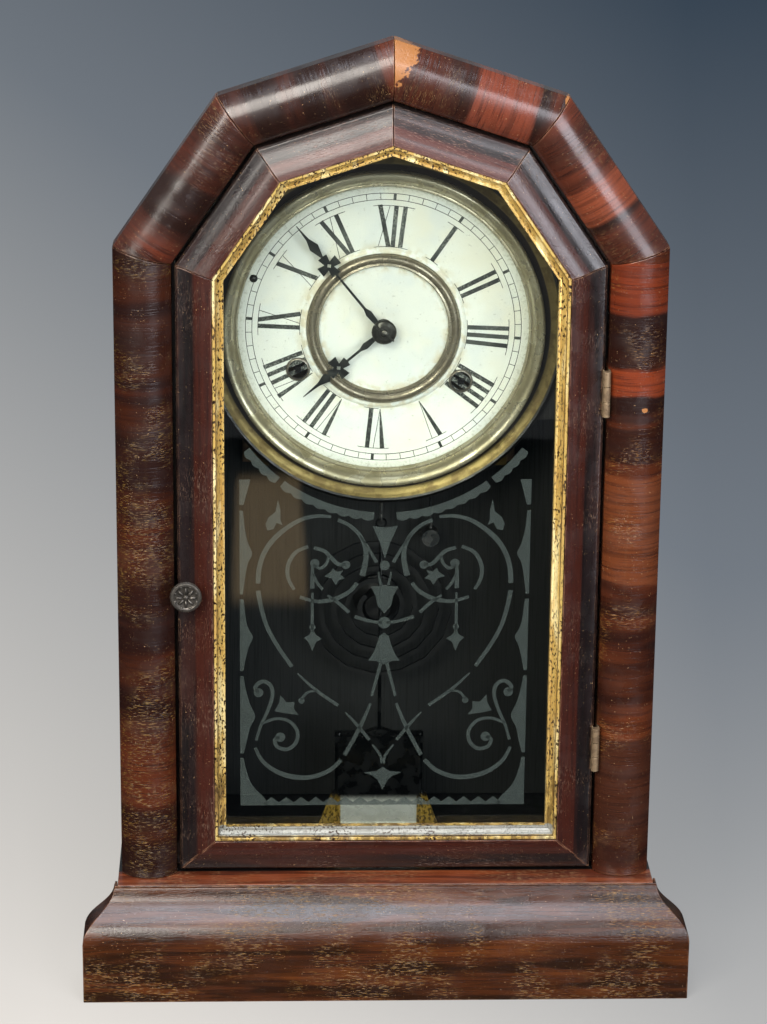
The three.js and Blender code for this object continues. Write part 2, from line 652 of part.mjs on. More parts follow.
/** Painted plate with its rolled brass edge, bezel, centre ring and winding grommets. */
function addDial() {
  const plate = turned(
    [
      [CENTRE_HOLE_R, DIAL_Y], [DIAL_R - DIAL_RIM, DIAL_Y],
      [DIAL_R - DIAL_RIM * 0.7, DIAL_Y - DIAL_RIM_HEIGHT * 0.75],
      [DIAL_R - DIAL_RIM / 3, DIAL_Y - DIAL_RIM_HEIGHT], [DIAL_R, DIAL_Y - DIAL_RIM_HEIGHT / 2],
      [DIAL_R, dialBack], [CENTRE_HOLE_R, dialBack], [CENTRE_HOLE_R, DIAL_Y],
    ],
    AXIS_X, AXIS_Z, 48,
  );
  const sleeve = GROMMET_HOLE_R + GROMMET_WALL;
  const holes = [timeArbor, strikeArbor].map(([x, z]) =>
    rod(sleeve + GLUE, DIAL_Y - 1, dialBack + 1, AXIS_X + x, AXIS_Z + z, 20),
  );
  piece("dial_plate", dialPaint, cut(plate, ...holes));
  const foot = DIAL_Y - GLUE;
  const crest = DIAL_Y - BEZEL_HEIGHT;
  const bezel = [
    [BEZEL_IN, foot], [BEZEL_IN + 0.7, crest + 2.8], [BEZEL_IN + 2.6, crest + 0.4], [BEZEL_IN + 4.4, crest],
    [BEZEL_OUT - 0.7, crest + 1.4], [BEZEL_OUT, crest + 3.6], [BEZEL_OUT, foot], [BEZEL_IN, foot],
  ];
  piece("dial_bezel", brass, turned(bezel, AXIS_X, AXIS_Z, 48));
  const top = DIAL_Y - RING_HEIGHT;
  const ring = [
    [RING_IN, foot], [RING_IN + 0.8, top + 0.9], [(RING_IN + RING_OUT) / 2, top], [RING_OUT - 0.8, top + 0.9],
    [RING_OUT, foot], [RING_IN, foot],
  ];
  piece("dial_centre_ring", brass, turned(ring, AXIS_X, AXIS_Z, 36));
  const sides = { right: timeArbor, left: strikeArbor };
  for (const [side, [x, z]] of Object.entries(sides)) {
    const profile = [
      [GROMMET_HOLE_R, foot - GROMMET_HEIGHT], [GROMMET_R, foot - GROMMET_HEIGHT * 0.7], [GROMMET_R, foot],
      [sleeve, foot], [sleeve, dialBack + 0.8], [GROMMET_HOLE_R, dialBack + 0.8],
      [GROMMET_HOLE_R, foot - GROMMET_HEIGHT],
    ];
    piece(`winding_grommet_${side}`, dullBrass, turned(profile, AXIS_X + x, AXIS_Z + z, 20));
  }
}

/** Outline of a hand along +Z from its hub: stem with a swelling, pierced flared cross, leaf and point. */
function handOutline(hubR, cross, leaf, length) {
  const flare = CROSS_ARM * 0.46;
  const waist = CROSS_ARM * 0.3;
  const right = [
    [0.9, hubR], [1.5, HAND_SWELL_Z], [0.55, HAND_SWELL_Z + 2.8], [0.5, cross - CROSS_ARM - 0.2],
    [flare, cross - CROSS_ARM], [waist, cross - waist], [CROSS_ARM, cross - flare],
    [CROSS_ARM, cross + flare], [waist, cross + waist], [flare, cross + CROSS_ARM],
    [0.5, cross + CROSS_ARM + 0.2], [2.2, leaf], [0.7, leaf + (length - leaf) * 0.35], [0.12, length],
  ];
  return [...right, ...right.slice().reverse().map(([x, z]) => [-x, z])];
}

/** A hand with its front at y, on a hub with a hole, turned clockwise by angle. */
function hand(holeR, cross, leaf, length, y, angle) {
  const hubR = holeR + HUB_WALL;
  const outline = handOutline(hubR - 0.6, cross, leaf, length);
  const pierce = CROSS_ARM * 0.22;
  const square = [[0, cross - pierce], [-pierce, cross], [0, cross + pierce], [pierce, cross]];
  const blade = sheet(outline, y, y + HAND_THICK, [square]);
  const hub = rod(hubR, y, y + HAND_THICK, 0, 0, 24);
  const hole = rod(holeR, y - 1, y + HAND_THICK + 1, 0, 0, 16);
  return cut(join(blade, hub), hole).rotateY(angle).translate(AXIS_X, 0, AXIS_Z);
}

const pipeIn = ARBOR_R + PLAY;
const pipeOut = pipeIn + PIPE_WALL;
const washerBack = MINUTE_Y - GLUE;
const washerFront = washerBack - WASHER_HEIGHT;
const taperPinY = washerFront - TAPER_PIN_R / 2;

/** A round bar across the hand arbor, on the taper pin's line. */
function crossBar(radius, farRadius, length) {
  return new THREE.CylinderGeometry(radius, farRadius, length, 10)
    .rotateZ(Math.PI / 2)
    .rotateY(TAPER_PIN_TURN)
    .translate(0, taperPinY, 0);
}

/** Hour hand, minute hand and the domed washer with its taper pin. */
function addHands() {
  const hour = hand(pipeOut + GLUE, HOUR_CROSS, HOUR_LEAF, HOUR_LENGTH, HOUR_Y, HOUR_ANGLE);
  piece("hour_hand", blackSteel, hour);
  const hole = ARBOR_R + GLUE;
  const minute = hand(hole, MINUTE_CROSS, MINUTE_LEAF, MINUTE_LENGTH, MINUTE_Y, MINUTE_ANGLE);
  piece("minute_hand", blackSteel, minute);
  const dome = turned([
    [hole, washerFront], [WASHER_R - 2.1, washerFront + 0.1], [WASHER_R - 0.7, washerFront + WASHER_HEIGHT / 2],
    [WASHER_R, washerBack], [hole, washerBack], [hole, washerFront],
  ]);
  const taperPin = crossBar(TAPER_PIN_R, TAPER_PIN_R * 0.8, TAPER_PIN_LENGTH);
  piece("hand_washer", blackSteel, join(dome, taperPin).translate(AXIS_X, 0, AXIS_Z));
}

// ---------------------------------------------------------------- movement
/** A toothed outline of pointed teeth, with a tip at angle `phase`, measured from +X towards +Z. */
function teeth(count, root, tip, phase) {
  const points = [];
  for (let k = 0; k < 2 * count; k += 1) {
    const angle = phase + (k * Math.PI) / count;
    const r = k % 2 ? root : tip;
    points.push([r * Math.cos(angle), r * Math.sin(angle)]);
  }
  return points;
}

/** A wheel of given pitch radius whose tooth gap looks along `towards`. */
function wheel(count, pitchR, y, thick, towards) {
  const pitch = (2 * Math.PI * pitchR) / count;
  return sheet(teeth(count, pitchR - pitch * ROOT, pitchR + pitch * TIP, towards + Math.PI / count), y, y + thick);
}

/** A cut pinion whose tooth looks along `towards`. */
function cutPinion(count, pitchR, y, thick, towards) {
  const pitch = (2 * Math.PI * pitchR) / count;
  return sheet(teeth(count, pitchR - pitch * ROOT, pitchR + pitch * TIP, towards), y, y + thick);
}

/** A lantern pinion: round rods between two discs, one rod looking along `towards`. */
function lantern(count, pitchR, rodR, y, gap, towards) {
  const disc = LANTERN_DISC;
  const parts = [y - disc, y + gap].map((low) => rod(pitchR + rodR + 0.3, low, low + disc));
  for (let k = 0; k < count; k += 1) {
    const angle = towards + (2 * Math.PI * k) / count;
    parts.push(rod(rodR, y - disc / 2, y + gap + disc / 2, pitchR * Math.cos(angle), pitchR * Math.sin(angle), 6));
  }
  return parts;
}

/** Profile of the back end of an arbor of radius r: the shoulder in front of the back plate, and the pivot. */
function backPivot(r) {
  const shoulder = BACK_PLATE_Y - PLAY;
  const end = BACK_PLATE_Y + PLATE_THICK + PIVOT_BACK;
  return [[r, shoulder], [PIVOT_R, shoulder], [PIVOT_R, end], [0, end]];
}

/** An arbor of radius r between the plates; its front pivot reaches forward to front. */
function arbor(r, front = FRONT_PLATE_Y - PIVOT_FRONT) {
  const shoulder = FRONT_PLATE_Y + PLATE_THICK + PLAY;
  const profile = [[0, front], [PIVOT_R, front], [PIVOT_R, shoulder], [r, shoulder], ...backPivot(r)];
  return turned(profile, 0, 0, 10);
}

const angleOf = ([ax, az], [bx, bz]) => Math.atan2(bz - az, bx - ax);
const distance = ([ax, az], [bx, bz]) => Math.hypot(bx - ax, bz - az);
const centre = [0, 0];
const third = [THIRD_X, Math.sqrt(CENTRE_TO_THIRD ** 2 - THIRD_X ** 2)];
const escape = [0, third[1] + Math.sqrt(THIRD_TO_ESCAPE ** 2 - THIRD_X ** 2)];
const minuteStud = [CENTRE_TO_MINUTE * Math.cos(MINUTE_DIRECTION), CENTRE_TO_MINUTE * Math.sin(MINUTE_DIRECTION)];
const greatR = (distance(centre, timeArbor) * TRAIN.great) / (TRAIN.great + TRAIN.centrePinion); // pitch radius
const hammerReach = GONG_OUT + GONG_WIRE / 2 + HAMMER_HEAD_R + PLAY; // gong's middle to the hammer head's
const hammerPivot = [hammerReach * Math.cos(STRIKE_ANGLE), HAMMER_Z];

/** Moves a piece made round the hand arbor's line to a place in the movement and adds it. */
function placed(name, material, geometry, [x, z]) {
  piece(name, material, geometry.translate(AXIS_X + x, 0, AXIS_Z + z));
}

/** Both plates, the pillars on the back one and the post that the pendulum hangs from. */
function addPlates() {
  const right = [
    [PLATE_HALF, -PLATE_DOWN], [PLATE_HALF, PLATE_UP - PLATE_CORNER_Z], [PLATE_HALF - PLATE_CORNER_X, PLATE_UP],
  ];
  const outline = [...right, ...right.slice().reverse().map(([x, z]) => [-x, z])];
  const through = (r, [x, z], y) => rod(r, y - 1, y + PLATE_THICK + 1, x, z, 8);
  const pillars = [-PILLAR_X, PILLAR_X].flatMap((x) => [[x, -PILLAR_DOWN], [x, PILLAR_UP]]);
  const pivots = [third, escape, hammerPivot];
  const root = FRONT_PLATE_Y + PLATE_THICK / 2; // depth to which posts and studs are let in
  const post = block(-3, 3, PENDULUM_Y - 2.6, root, SUSPENSION_Z, SUSPENSION_Z + 6);
  const postSlot = block(-0.7, 0.7, PENDULUM_Y - 3.6, PENDULUM_Y + 2.6, SUSPENSION_Z - 1, SUSPENSION_Z + 7);
  const vergeStud = rod(VERGE_STUD_R, ESCAPE_WHEEL_Y - 1.6, root, 0, VERGE_Z, 10);
  const wheelStud = rod(STUD_R, HOUR_WHEEL_Y, root, ...minuteStud, 10);
  const front = cut(
    join(sheet(outline, FRONT_PLATE_Y, FRONT_PLATE_Y + PLATE_THICK), post, vergeStud, wheelStud),
    postSlot,
    through(ARBOR_R + PLAY, centre, FRONT_PLATE_Y),
    ...[timeArbor, strikeArbor].map((at) => through(WINDER_R + PLAY, at, FRONT_PLATE_Y)),
    ...pivots.map((at) => through(PIVOT_R + PLAY, at, FRONT_PLATE_Y)),
    ...pillars.map((at) => through(TENON_R + PLAY, at, FRONT_PLATE_Y)),
  );
  placed("movement_front_plate", brass, front, centre);
  const [tip, shoulder] = [FRONT_PLATE_Y - 2 * PIVOT_FRONT, FRONT_PLATE_Y + PLATE_THICK + GLUE];
  const foot = BACK_PLATE_Y + PLATE_THICK / 2;
  const profile = [
    [0, tip], [TENON_R, tip], [TENON_R, shoulder], [PILLAR_R, shoulder], [PILLAR_R, foot], [0, foot],
  ];
  const posts = pillars.map(([x, z]) => turned(profile, x, z, 8));
  const back = cut(
    join(sheet(outline, BACK_PLATE_Y, BACK_PLATE_Y + PLATE_THICK), ...posts),
    ...[...pivots, centre, timeArbor, strikeArbor].map((at) => through(PIVOT_R + PLAY, at, BACK_PLATE_Y)),
  );
  placed("movement_back_plate", brass, back, centre);
}

/** Winding arbors with ratchet and square end, each with its great wheel running on it. */
function addWinding() {
  const start = dialBack + 1; // front end of the round part
  const half = WINDER_SQUARE / 2;
  for (const [name, at] of [["time", timeArbor], ["strike", strikeArbor]]) {
    const front = GREAT_WHEEL_Y[name];
    const collar = front + GREAT_THICK + PLAY;
    const collarBack = collar + COLLAR_THICK;
    const profile = [
      [0, start], [WINDER_R, start], [WINDER_R, collar], [COLLAR_R, collar], [COLLAR_R, collarBack],
      [WINDER_R, collarBack], ...backPivot(WINDER_R),
    ];
    const square = block(-half, half, DIAL_Y - 1.4, start + 2, -half, half);
    const ratchetBack = front - RATCHET_GAP;
    const ratchetTeeth = teeth(12, RATCHET_R - RATCHET_TOOTH, RATCHET_R, 0);
    const ratchet = sheet(ratchetTeeth, ratchetBack - RATCHET_THICK, ratchetBack);
    placed(`${name}_winding_arbor`, steel, join(turned(profile, 0, 0, 12), square, ratchet), at);
    const rim = wheel(TRAIN.great, greatR, front, GREAT_THICK, angleOf(at, centre));
    const bore = rod(WINDER_R + PLAY, front - 1, front + GREAT_THICK + 1, 0, 0, 16);
    placed(`${name}_great_wheel`, brass, cut(rim, bore), at);
  }
}

/** Centre wheel on its sleeve, third wheel and escape wheel. */
function addTrain() {
  const centrePinionR = distance(centre, timeArbor) - greatR;
  const centreR = (CENTRE_TO_THIRD * TRAIN.centre) / (TRAIN.centre + TRAIN.thirdPinion);
  const thirdR = (THIRD_TO_ESCAPE * TRAIN.third) / (TRAIN.third + TRAIN.escapePinion);
  const gap = WHEEL_THICK + 2 * LANTERN_DISC; // between the discs of a lantern pinion
  const pinionY = GREAT_WHEEL_Y.time - LANTERN_DISC;
  const sleeveBore = rod(ARBOR_R + PLAY, pinionY - 3, CENTRE_WHEEL_Y + 4, 0, 0, 16);
  const greatGap = GREAT_THICK + 2 * LANTERN_DISC;
  const centreParts = [
    ...lantern(TRAIN.centrePinion, centrePinionR, 0.75, pinionY, greatGap, angleOf(centre, timeArbor)),
    rod(SLEEVE_R, pinionY - 0.2, CENTRE_WHEEL_Y + WHEEL_THICK + 0.7, 0, 0, 16),
    wheel(TRAIN.centre, centreR, CENTRE_WHEEL_Y, WHEEL_THICK, angleOf(centre, third)),
  ];
  placed("centre_wheel", brass, cut(join(...centreParts), sleeveBore), centre);
  const thirdPinionR = CENTRE_TO_THIRD - centreR;
  const thirdParts = [
    arbor(SMALL_ARBOR_R),
    ...lantern(TRAIN.thirdPinion, thirdPinionR, 0.4, CENTRE_WHEEL_Y - LANTERN_DISC, gap, angleOf(third, centre)),
    wheel(TRAIN.third, thirdR, THIRD_WHEEL_Y, WHEEL_THICK, angleOf(third, escape)),
  ];
  placed("third_wheel", brass, join(...thirdParts), third);
  const escapePinionR = THIRD_TO_ESCAPE - thirdR;
  const escapeTeeth = teeth(TRAIN.escape, ESCAPE_R - ESCAPE_TOOTH, ESCAPE_R, 0);
  const escapeParts = [
    arbor(SMALL_ARBOR_R, ESCAPE_WHEEL_Y),
    ...lantern(TRAIN.escapePinion, escapePinionR, 0.35, THIRD_WHEEL_Y - LANTERN_DISC, gap, angleOf(escape, third)),
    sheet(escapeTeeth, ESCAPE_WHEEL_Y, ESCAPE_WHEEL_Y + MOTION_THICK),
  ];
  placed("escape_wheel", brass, join(...escapeParts), escape);
}

/** Hand arbor with its pinion, minute wheel with its pinion, and hour wheel on its pipe. */
function addMotionWork() {
  const cannonR = (CENTRE_TO_MINUTE * MOTION.cannon) / (MOTION.cannon + MOTION.minute);
  const minutePinionR = (CENTRE_TO_MINUTE * MOTION.minutePinion) / (MOTION.minutePinion + MOTION.hour);
  const outwardAngle = angleOf(centre, minuteStud);
  const inwardAngle = angleOf(minuteStud, centre);
  const shaft = turned([[0, washerFront - 2.2], [ARBOR_R, washerFront - 1.8], ...backPivot(ARBOR_R)], 0, 0, 12);
  const pinHole = crossBar(TAPER_PIN_R + GLUE, TAPER_PIN_R + GLUE, 5 * ARBOR_R);
  const overlap = 0.4; // how far a pinion stands out at either side of the wheel it drives
  const cannon = cutPinion(MOTION.cannon, cannonR, MINUTE_WHEEL_Y - overlap, CANNON_THICK, outwardAngle);
  placed("centre_arbor", steel, cut(join(shaft, cannon), pinHole), centre);
  const pinionLength = MINUTE_WHEEL_Y - HOUR_WHEEL_Y + 2 * overlap;
  const minuteParts = [
    wheel(MOTION.minute, CENTRE_TO_MINUTE - cannonR, MINUTE_WHEEL_Y, MOTION_THICK, inwardAngle),
    cutPinion(MOTION.minutePinion, minutePinionR, HOUR_WHEEL_Y - overlap, pinionLength, inwardAngle),
  ];
  const studBore = rod(STUD_R + PLAY, HOUR_WHEEL_Y - 2, MINUTE_WHEEL_Y + 3, 0, 0, 12);
  placed("minute_wheel", brass, cut(join(...minuteParts), studBore), minuteStud);
  const hourR = CENTRE_TO_MINUTE - minutePinionR;
  const hourParts = [
    wheel(MOTION.hour, hourR, HOUR_WHEEL_Y, MOTION_THICK, outwardAngle),
    rod(pipeOut, HOUR_Y - 0.4, HOUR_WHEEL_Y + MOTION_THICK + 0.4, 0, 0, 16),
  ];
  const pipeBore = rod(pipeIn, HOUR_Y - 2, HOUR_WHEEL_Y + 3, 0, 0, 16);
  placed("hour_wheel", brass, cut(join(...hourParts), pipeBore), centre);
}

/** Verge: a two-armed anchor over the escape wheel, with the crutch and its fork. */
function addVerge() {
  const clear = 1.2; // tooth tips to pallets at rest
  const reach = THREE.MathUtils.degToRad(40);
  const tipX = (ESCAPE_R + clear) * Math.sin(reach);
  const tipZ = escape[1] + (ESCAPE_R + clear) * Math.cos(reach) - VERGE_Z;
  const half = [
    [0, 2.6], [4.5, 1.4], [tipX + 1.6, tipZ + 3.2], [tipX + 1.6, tipZ - 0.6], [tipX + 0.1, tipZ + 0.2], [3, -2.4],
  ];
  const outline = [...half, ...half.slice(1).reverse().map(([x, z]) => [-x, z])];
  const y = ESCAPE_WHEEL_Y;
  const forkY = PENDULUM_Y - 1.6;
  const inner = LEADER_R + PLAY;
  const outer = inner + 1.2;
  const [low, high] = [-FORK_DROP - 0.8, -FORK_DROP + 0.8];
  const prongs = [[-outer, -inner], [inner, outer]];
  const parts = [
    sheet(outline, y, y + MOTION_THICK),
    rod(2.4, y - 1.4, y + MOTION_THICK, 0, 0, 14),
    block(-0.7, 0.7, y - 1.4, y - PLAY, low, 0),
    block(-outer, outer, PENDULUM_Y + 2, y - PLAY, low, high),
    ...prongs.map(([x0, x1]) => block(x0, x1, forkY, PENDULUM_Y + 2.4, low, high)),
  ];
  const bore = rod(VERGE_STUD_R + PLAY, y - 3, y + 3, 0, 0, 12);
  placed("verge", steel, cut(join(...parts), bore), [0, VERGE_Z]);
}

/** Leader: a flat spring at the top, then a wire that bows round the hand arbor and ends in a hook. */
function addSuspensionRod() {
  const top = AXIS_Z + SUSPENSION_Z;
  const y = PENDULUM_Y;
  const stripTop = top + 4;
  const stripFoot = stripTop - SPRING_LENGTH;
  const [thick, wide] = [SPRING_THICK / 2, SPRING_HALF];
  const strip = block(AXIS_X - thick, AXIS_X + thick, y - wide, y + wide, stripFoot, stripTop);
  const upper = [[0, 1], [0, 0.76], [0.5, 0.53], [1, 0.21]]; // shares of the bow and of its reach
  const bow = [...upper, ...upper.slice().reverse().map(([x, z]) => [x, -z])];
  const bowed = bow.map(([x, z]) => [AXIS_X + x * BOW, y, AXIS_Z + z * BOW_REACH]);
  const line = wire([[AXIS_X, y, stripFoot + 2], ...bowed, [AXIS_X, y, HOOK_Z + HOOK_R]], LEADER_R, 30);
  const hook = [];
  for (let i = 0; i <= 6; i += 1) {
    const angle = (Math.PI * i) / 6;
    hook.push([AXIS_X, y - HOOK_R + HOOK_R * Math.cos(angle), HOOK_Z + HOOK_R - HOOK_R * Math.sin(angle)]);
  }
  const bend = wire([[AXIS_X, y, HOOK_Z + HOOK_R + 2], ...hook, [AXIS_X, y - 2 * HOOK_R, HOOK_Z + 4]], 0.6, 14);
  piece("suspension_rod", steel, join(strip, line, bend));
}

/** Pendulum: eye and wire, and a brass-framed silvered bob with a bracket at either side. */
function addPendulum() {
  const y = PENDULUM_Y;
  const eyeY = y - HOOK_R;
  const eyeZ = HOOK_Z + 0.6 + EYE_WIRE + 0.25 - EYE_R;
  const eye = new THREE.TorusGeometry(EYE_R, EYE_WIRE, 6, 16).rotateX(Math.PI / 2).translate(AXIS_X, eyeY, eyeZ);
  const bobTop = BOB_BOTTOM + BOB_HEIGHT;
  const stem = upright(LEADER_R, AXIS_X, eyeY, bobTop - 2, eyeZ - EYE_R + 0.2, 8);
  const half = BOB_THICK / 2;
  const frameHalf = BOB_HALF + BOB_POST_R + 0.1;
  const crownFoot = bobTop - 4;
  const panel = block(AXIS_X - BOB_HALF, AXIS_X + BOB_HALF, y - half + 1, y + half - 1, BOB_BOTTOM + 1, crownFoot);
  const bars = [[BOB_BOTTOM, 2.4], [bobTop - 6, 3]].map(([z, height]) =>
    block(AXIS_X - frameHalf, AXIS_X + frameHalf, y - half, y + half, z, z + height),
  );
  const sides = [-BOB_HALF, BOB_HALF];
  const posts = sides.map((x) => upright(BOB_POST_R, AXIS_X + x, y, BOB_BOTTOM, bobTop - 2, 10));
  const wings = [-1, 1].map((side) => {
    const place = (out, up) => [AXIS_X + side * (BOB_HALF + out), BOB_BOTTOM + up];
    const wing = [place(0, 0), place(BOB_WING, 0), place(BOB_WING / 3, 2 * BOB_WING - 2), place(0, 2 * BOB_WING)];
    return sheet(wing, y - 1, y + 1);
  });
  const crown = [[-BOB_CROWN, crownFoot], [BOB_CROWN, crownFoot], [2, bobTop], [-2, bobTop]];
  const crownSheet = sheet(crown.map(([x, z]) => [AXIS_X + x, z]), eyeY - 1.2, y + 1.2);
  piece("pendulum", silvered, join(eye, stem, panel, ...bars, ...posts, ...wings, crownSheet));
}

/** Coiled wire gong on its iron stand, and the hammer that strikes it. */
function addGong() {
  const turns = (GONG_OUT - GONG_IN) / GONG_PITCH;
  const steps = Math.round(turns * GONG_STEPS);
  const end = STRIKE_ANGLE - 0.25;
  const corners = [[-1, -1], [1, -1], [1, 1], [-1, 1]];
  const rings = [];
  for (let i = 0; i <= steps; i += 1) {
    const share = i / steps;
    const angle = end + (share - 1) * turns * 2 * Math.PI;
    const middle = GONG_IN + share * (GONG_OUT - GONG_IN);
    rings.push(
      corners.map(([u, v]) => {
        const r = middle + (u * GONG_WIRE) / 2;
        const y = GONG_Y + (v * GONG_WIRE_DEPTH) / 2;
        return [AXIS_X + r * Math.cos(angle), y, GONG_Z + r * Math.sin(angle)];
      }),
    );
  }
  piece("gong_coil", steel, skin(rings, corners));
  const foot = backFace - GLUE;
  const head = GONG_Y - 2;
  const stand = [
    [0, head], [STAND_R, head], [STAND_R, foot - 4.8], [STAND_FOOT_R, foot - 2.8], [STAND_FOOT_R, foot], [0, foot],
  ];
  piece("gong_stand", blackSteel, turned(stand, AXIS_X, GONG_Z, 20));
}

/** Hammer on its arbor: a wire with a round head that hangs just off the gong's outer turn. */
function addHammer() {
  const x = AXIS_X + hammerPivot[0];
  const headZ = GONG_Z + hammerReach * Math.sin(STRIKE_ANGLE);
  const pivotZ = AXIS_Z + hammerPivot[1];
  const half = HAMMER_HEAD_LENGTH / 2;
  const head = rod(HAMMER_HEAD_R, GONG_Y - half, GONG_Y + half, x, headZ, 16);
  const stem = upright(LEADER_R, x, GONG_Y, headZ, pivotZ, 8);
  const axle = arbor(SMALL_ARBOR_R).translate(x, 0, pivotZ);
  piece("strike_hammer", steel, join(head, stem, axle));
}

/** The boards inside the case that carry the dial and the movement. */
function addInnerBoards() {
  const foot = AXIS_Z - DIAL_BOARD_DROP;
  const bridge = AXIS_Z + SUSPENSION_Z + BRIDGE_CLEAR;
  const corner = bridge - BRIDGE_CORNER_Z;
  const outer = arch(BODY_SET_IN + BOARD + GLUE, foot);
  const right = [[LEG_INNER, foot], [LEG_INNER, corner], [LEG_INNER - BRIDGE_CORNER_X, bridge]];
  const opening = [...right, ...right.slice().reverse().map(([x, z]) => [-x, z])];
  const front = dialBack + GLUE;
  piece("dial_board", darkBoard, sheet([...outer, ...opening], front, front + DIAL_BOARD_THICK));
  const plateBack = BACK_PLATE_Y + PLATE_THICK;
  const half = PLATE_HALF + SEAT_SIDE;
  const [low, high] = [AXIS_Z - PLATE_DOWN - SEAT_DOWN, AXIS_Z + PLATE_UP - SEAT_UP];
  const seat = block(AXIS_X - half, AXIS_X + half, plateBack + SEAT_GAP, backFace - GLUE, low, high);
  piece("movement_board", pine, seat);
}

addBase();
addCarcass();
addFrontMouldings();
addDoorFrame();
addGlazing();
addHinges();
addKnob();
addInnerBoards();
addDial();
addHands();
addPlates();
addWinding();
addTrain();
addMotionWork();
addVerge();
addSuspensionRod();
addPendulum();
addGong();
addHammer();

export default clock;
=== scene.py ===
"""Ogee shelf clock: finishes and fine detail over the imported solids. Metres, +Z up, the door facing -Y."""

import json
import logging
import math
from dataclasses import dataclass
from enum import Enum
from typing import Any, Sequence

import bmesh
import bpy
from mathutils import Matrix, Vector

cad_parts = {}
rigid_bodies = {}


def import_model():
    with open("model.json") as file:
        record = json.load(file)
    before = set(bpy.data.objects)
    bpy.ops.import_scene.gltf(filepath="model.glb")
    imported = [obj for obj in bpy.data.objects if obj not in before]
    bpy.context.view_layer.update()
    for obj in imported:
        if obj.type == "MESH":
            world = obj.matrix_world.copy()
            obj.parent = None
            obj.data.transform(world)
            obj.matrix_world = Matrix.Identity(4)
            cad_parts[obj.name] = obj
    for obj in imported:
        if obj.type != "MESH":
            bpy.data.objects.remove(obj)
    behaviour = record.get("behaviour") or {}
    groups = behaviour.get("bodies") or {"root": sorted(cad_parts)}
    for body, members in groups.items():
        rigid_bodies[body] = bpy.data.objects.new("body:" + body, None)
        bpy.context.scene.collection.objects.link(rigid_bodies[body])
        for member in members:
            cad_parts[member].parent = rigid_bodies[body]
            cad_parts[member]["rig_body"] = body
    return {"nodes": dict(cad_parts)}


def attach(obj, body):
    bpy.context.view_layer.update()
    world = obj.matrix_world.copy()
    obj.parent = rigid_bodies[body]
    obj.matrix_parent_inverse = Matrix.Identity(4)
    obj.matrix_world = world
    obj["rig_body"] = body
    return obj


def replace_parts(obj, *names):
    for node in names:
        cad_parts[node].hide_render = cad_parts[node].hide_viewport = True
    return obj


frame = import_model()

logging.basicConfig(level=logging.INFO, format="%(name)s: %(message)s")
LOG = logging.getLogger("clock")

Material = bpy.types.Material
Piece = bpy.types.Object
Settings = dict[str, Any] | None  # a node's properties
Inputs = dict[Any, Any] | None  # values or sockets for a node's inputs, by name or number
Point = tuple[float, float]
Triple = tuple[float, float, float]

MM = 0.001
FRONT = -31.25  # plane of the carcass's front edges, in millimetres
ARBOR: Point = (-1.8, 292.0)  # the hand arbor, in millimetres
DIAL_FACE = 4.35  # front of the dial plate
DIAL_TURN = math.radians(4.3)  # how far the dial is turned clockwise
DOOR_BACK: Point = (-31.8, -30.8)  # depths between which the case floor turns to near-black painted shade behind the door, in millimetres
BOX_AXIS = 200.0  # height that the faces inside the box look towards, in millimetres
SLOPE: Point = (33.2, 34.2)  # how far in from the outline a door rail's inner slope starts, in millimetres
SEED_STEP: Triple = (7.3, 3.1, 5.7)  # how far one seed moves a pattern, in patches

Coat = tuple[Any, ...]  # a mask, a hex colour, and the share of it that covers where that isn't one


# ---------------------------------------------------------------- nodes and colours
def linear(code: str) -> tuple[float, float, float, float]:
    """Turns an sRGB hex colour to linear.

    Args:
        code: Colour such as "#a0b0c0".

    Returns:
        Linear red, green, blue and an alpha of one.
    """
    channels = [int(code[i : i + 2], 16) / 255 for i in (1, 3, 5)]
    red, green, blue = [c / 12.92 if c <= 0.04045 else ((c + 0.055) / 1.055) ** 2.4 for c in channels]
    return (red, green, blue, 1.0)


def add(tree: bpy.types.NodeTree, kind: str, settings: Settings = None, inputs: Inputs = None) -> Any:
    """Adds a node with its settings and links.

    Args:
        tree: Tree that gets the node.
        kind: Node type.
        settings: Properties of the node.
        inputs: Values or sockets for its inputs, by name or number.

    Returns:
        The new node.
    """
    node = tree.nodes.new(kind)
    for name, value in (settings or {}).items():
        setattr(node, name, value)
    for key, value in (inputs or {}).items():
        if isinstance(value, bpy.types.NodeSocket):
            tree.links.new(value, node.inputs[key])
        else:
            node.inputs[key].default_value = value
    return node


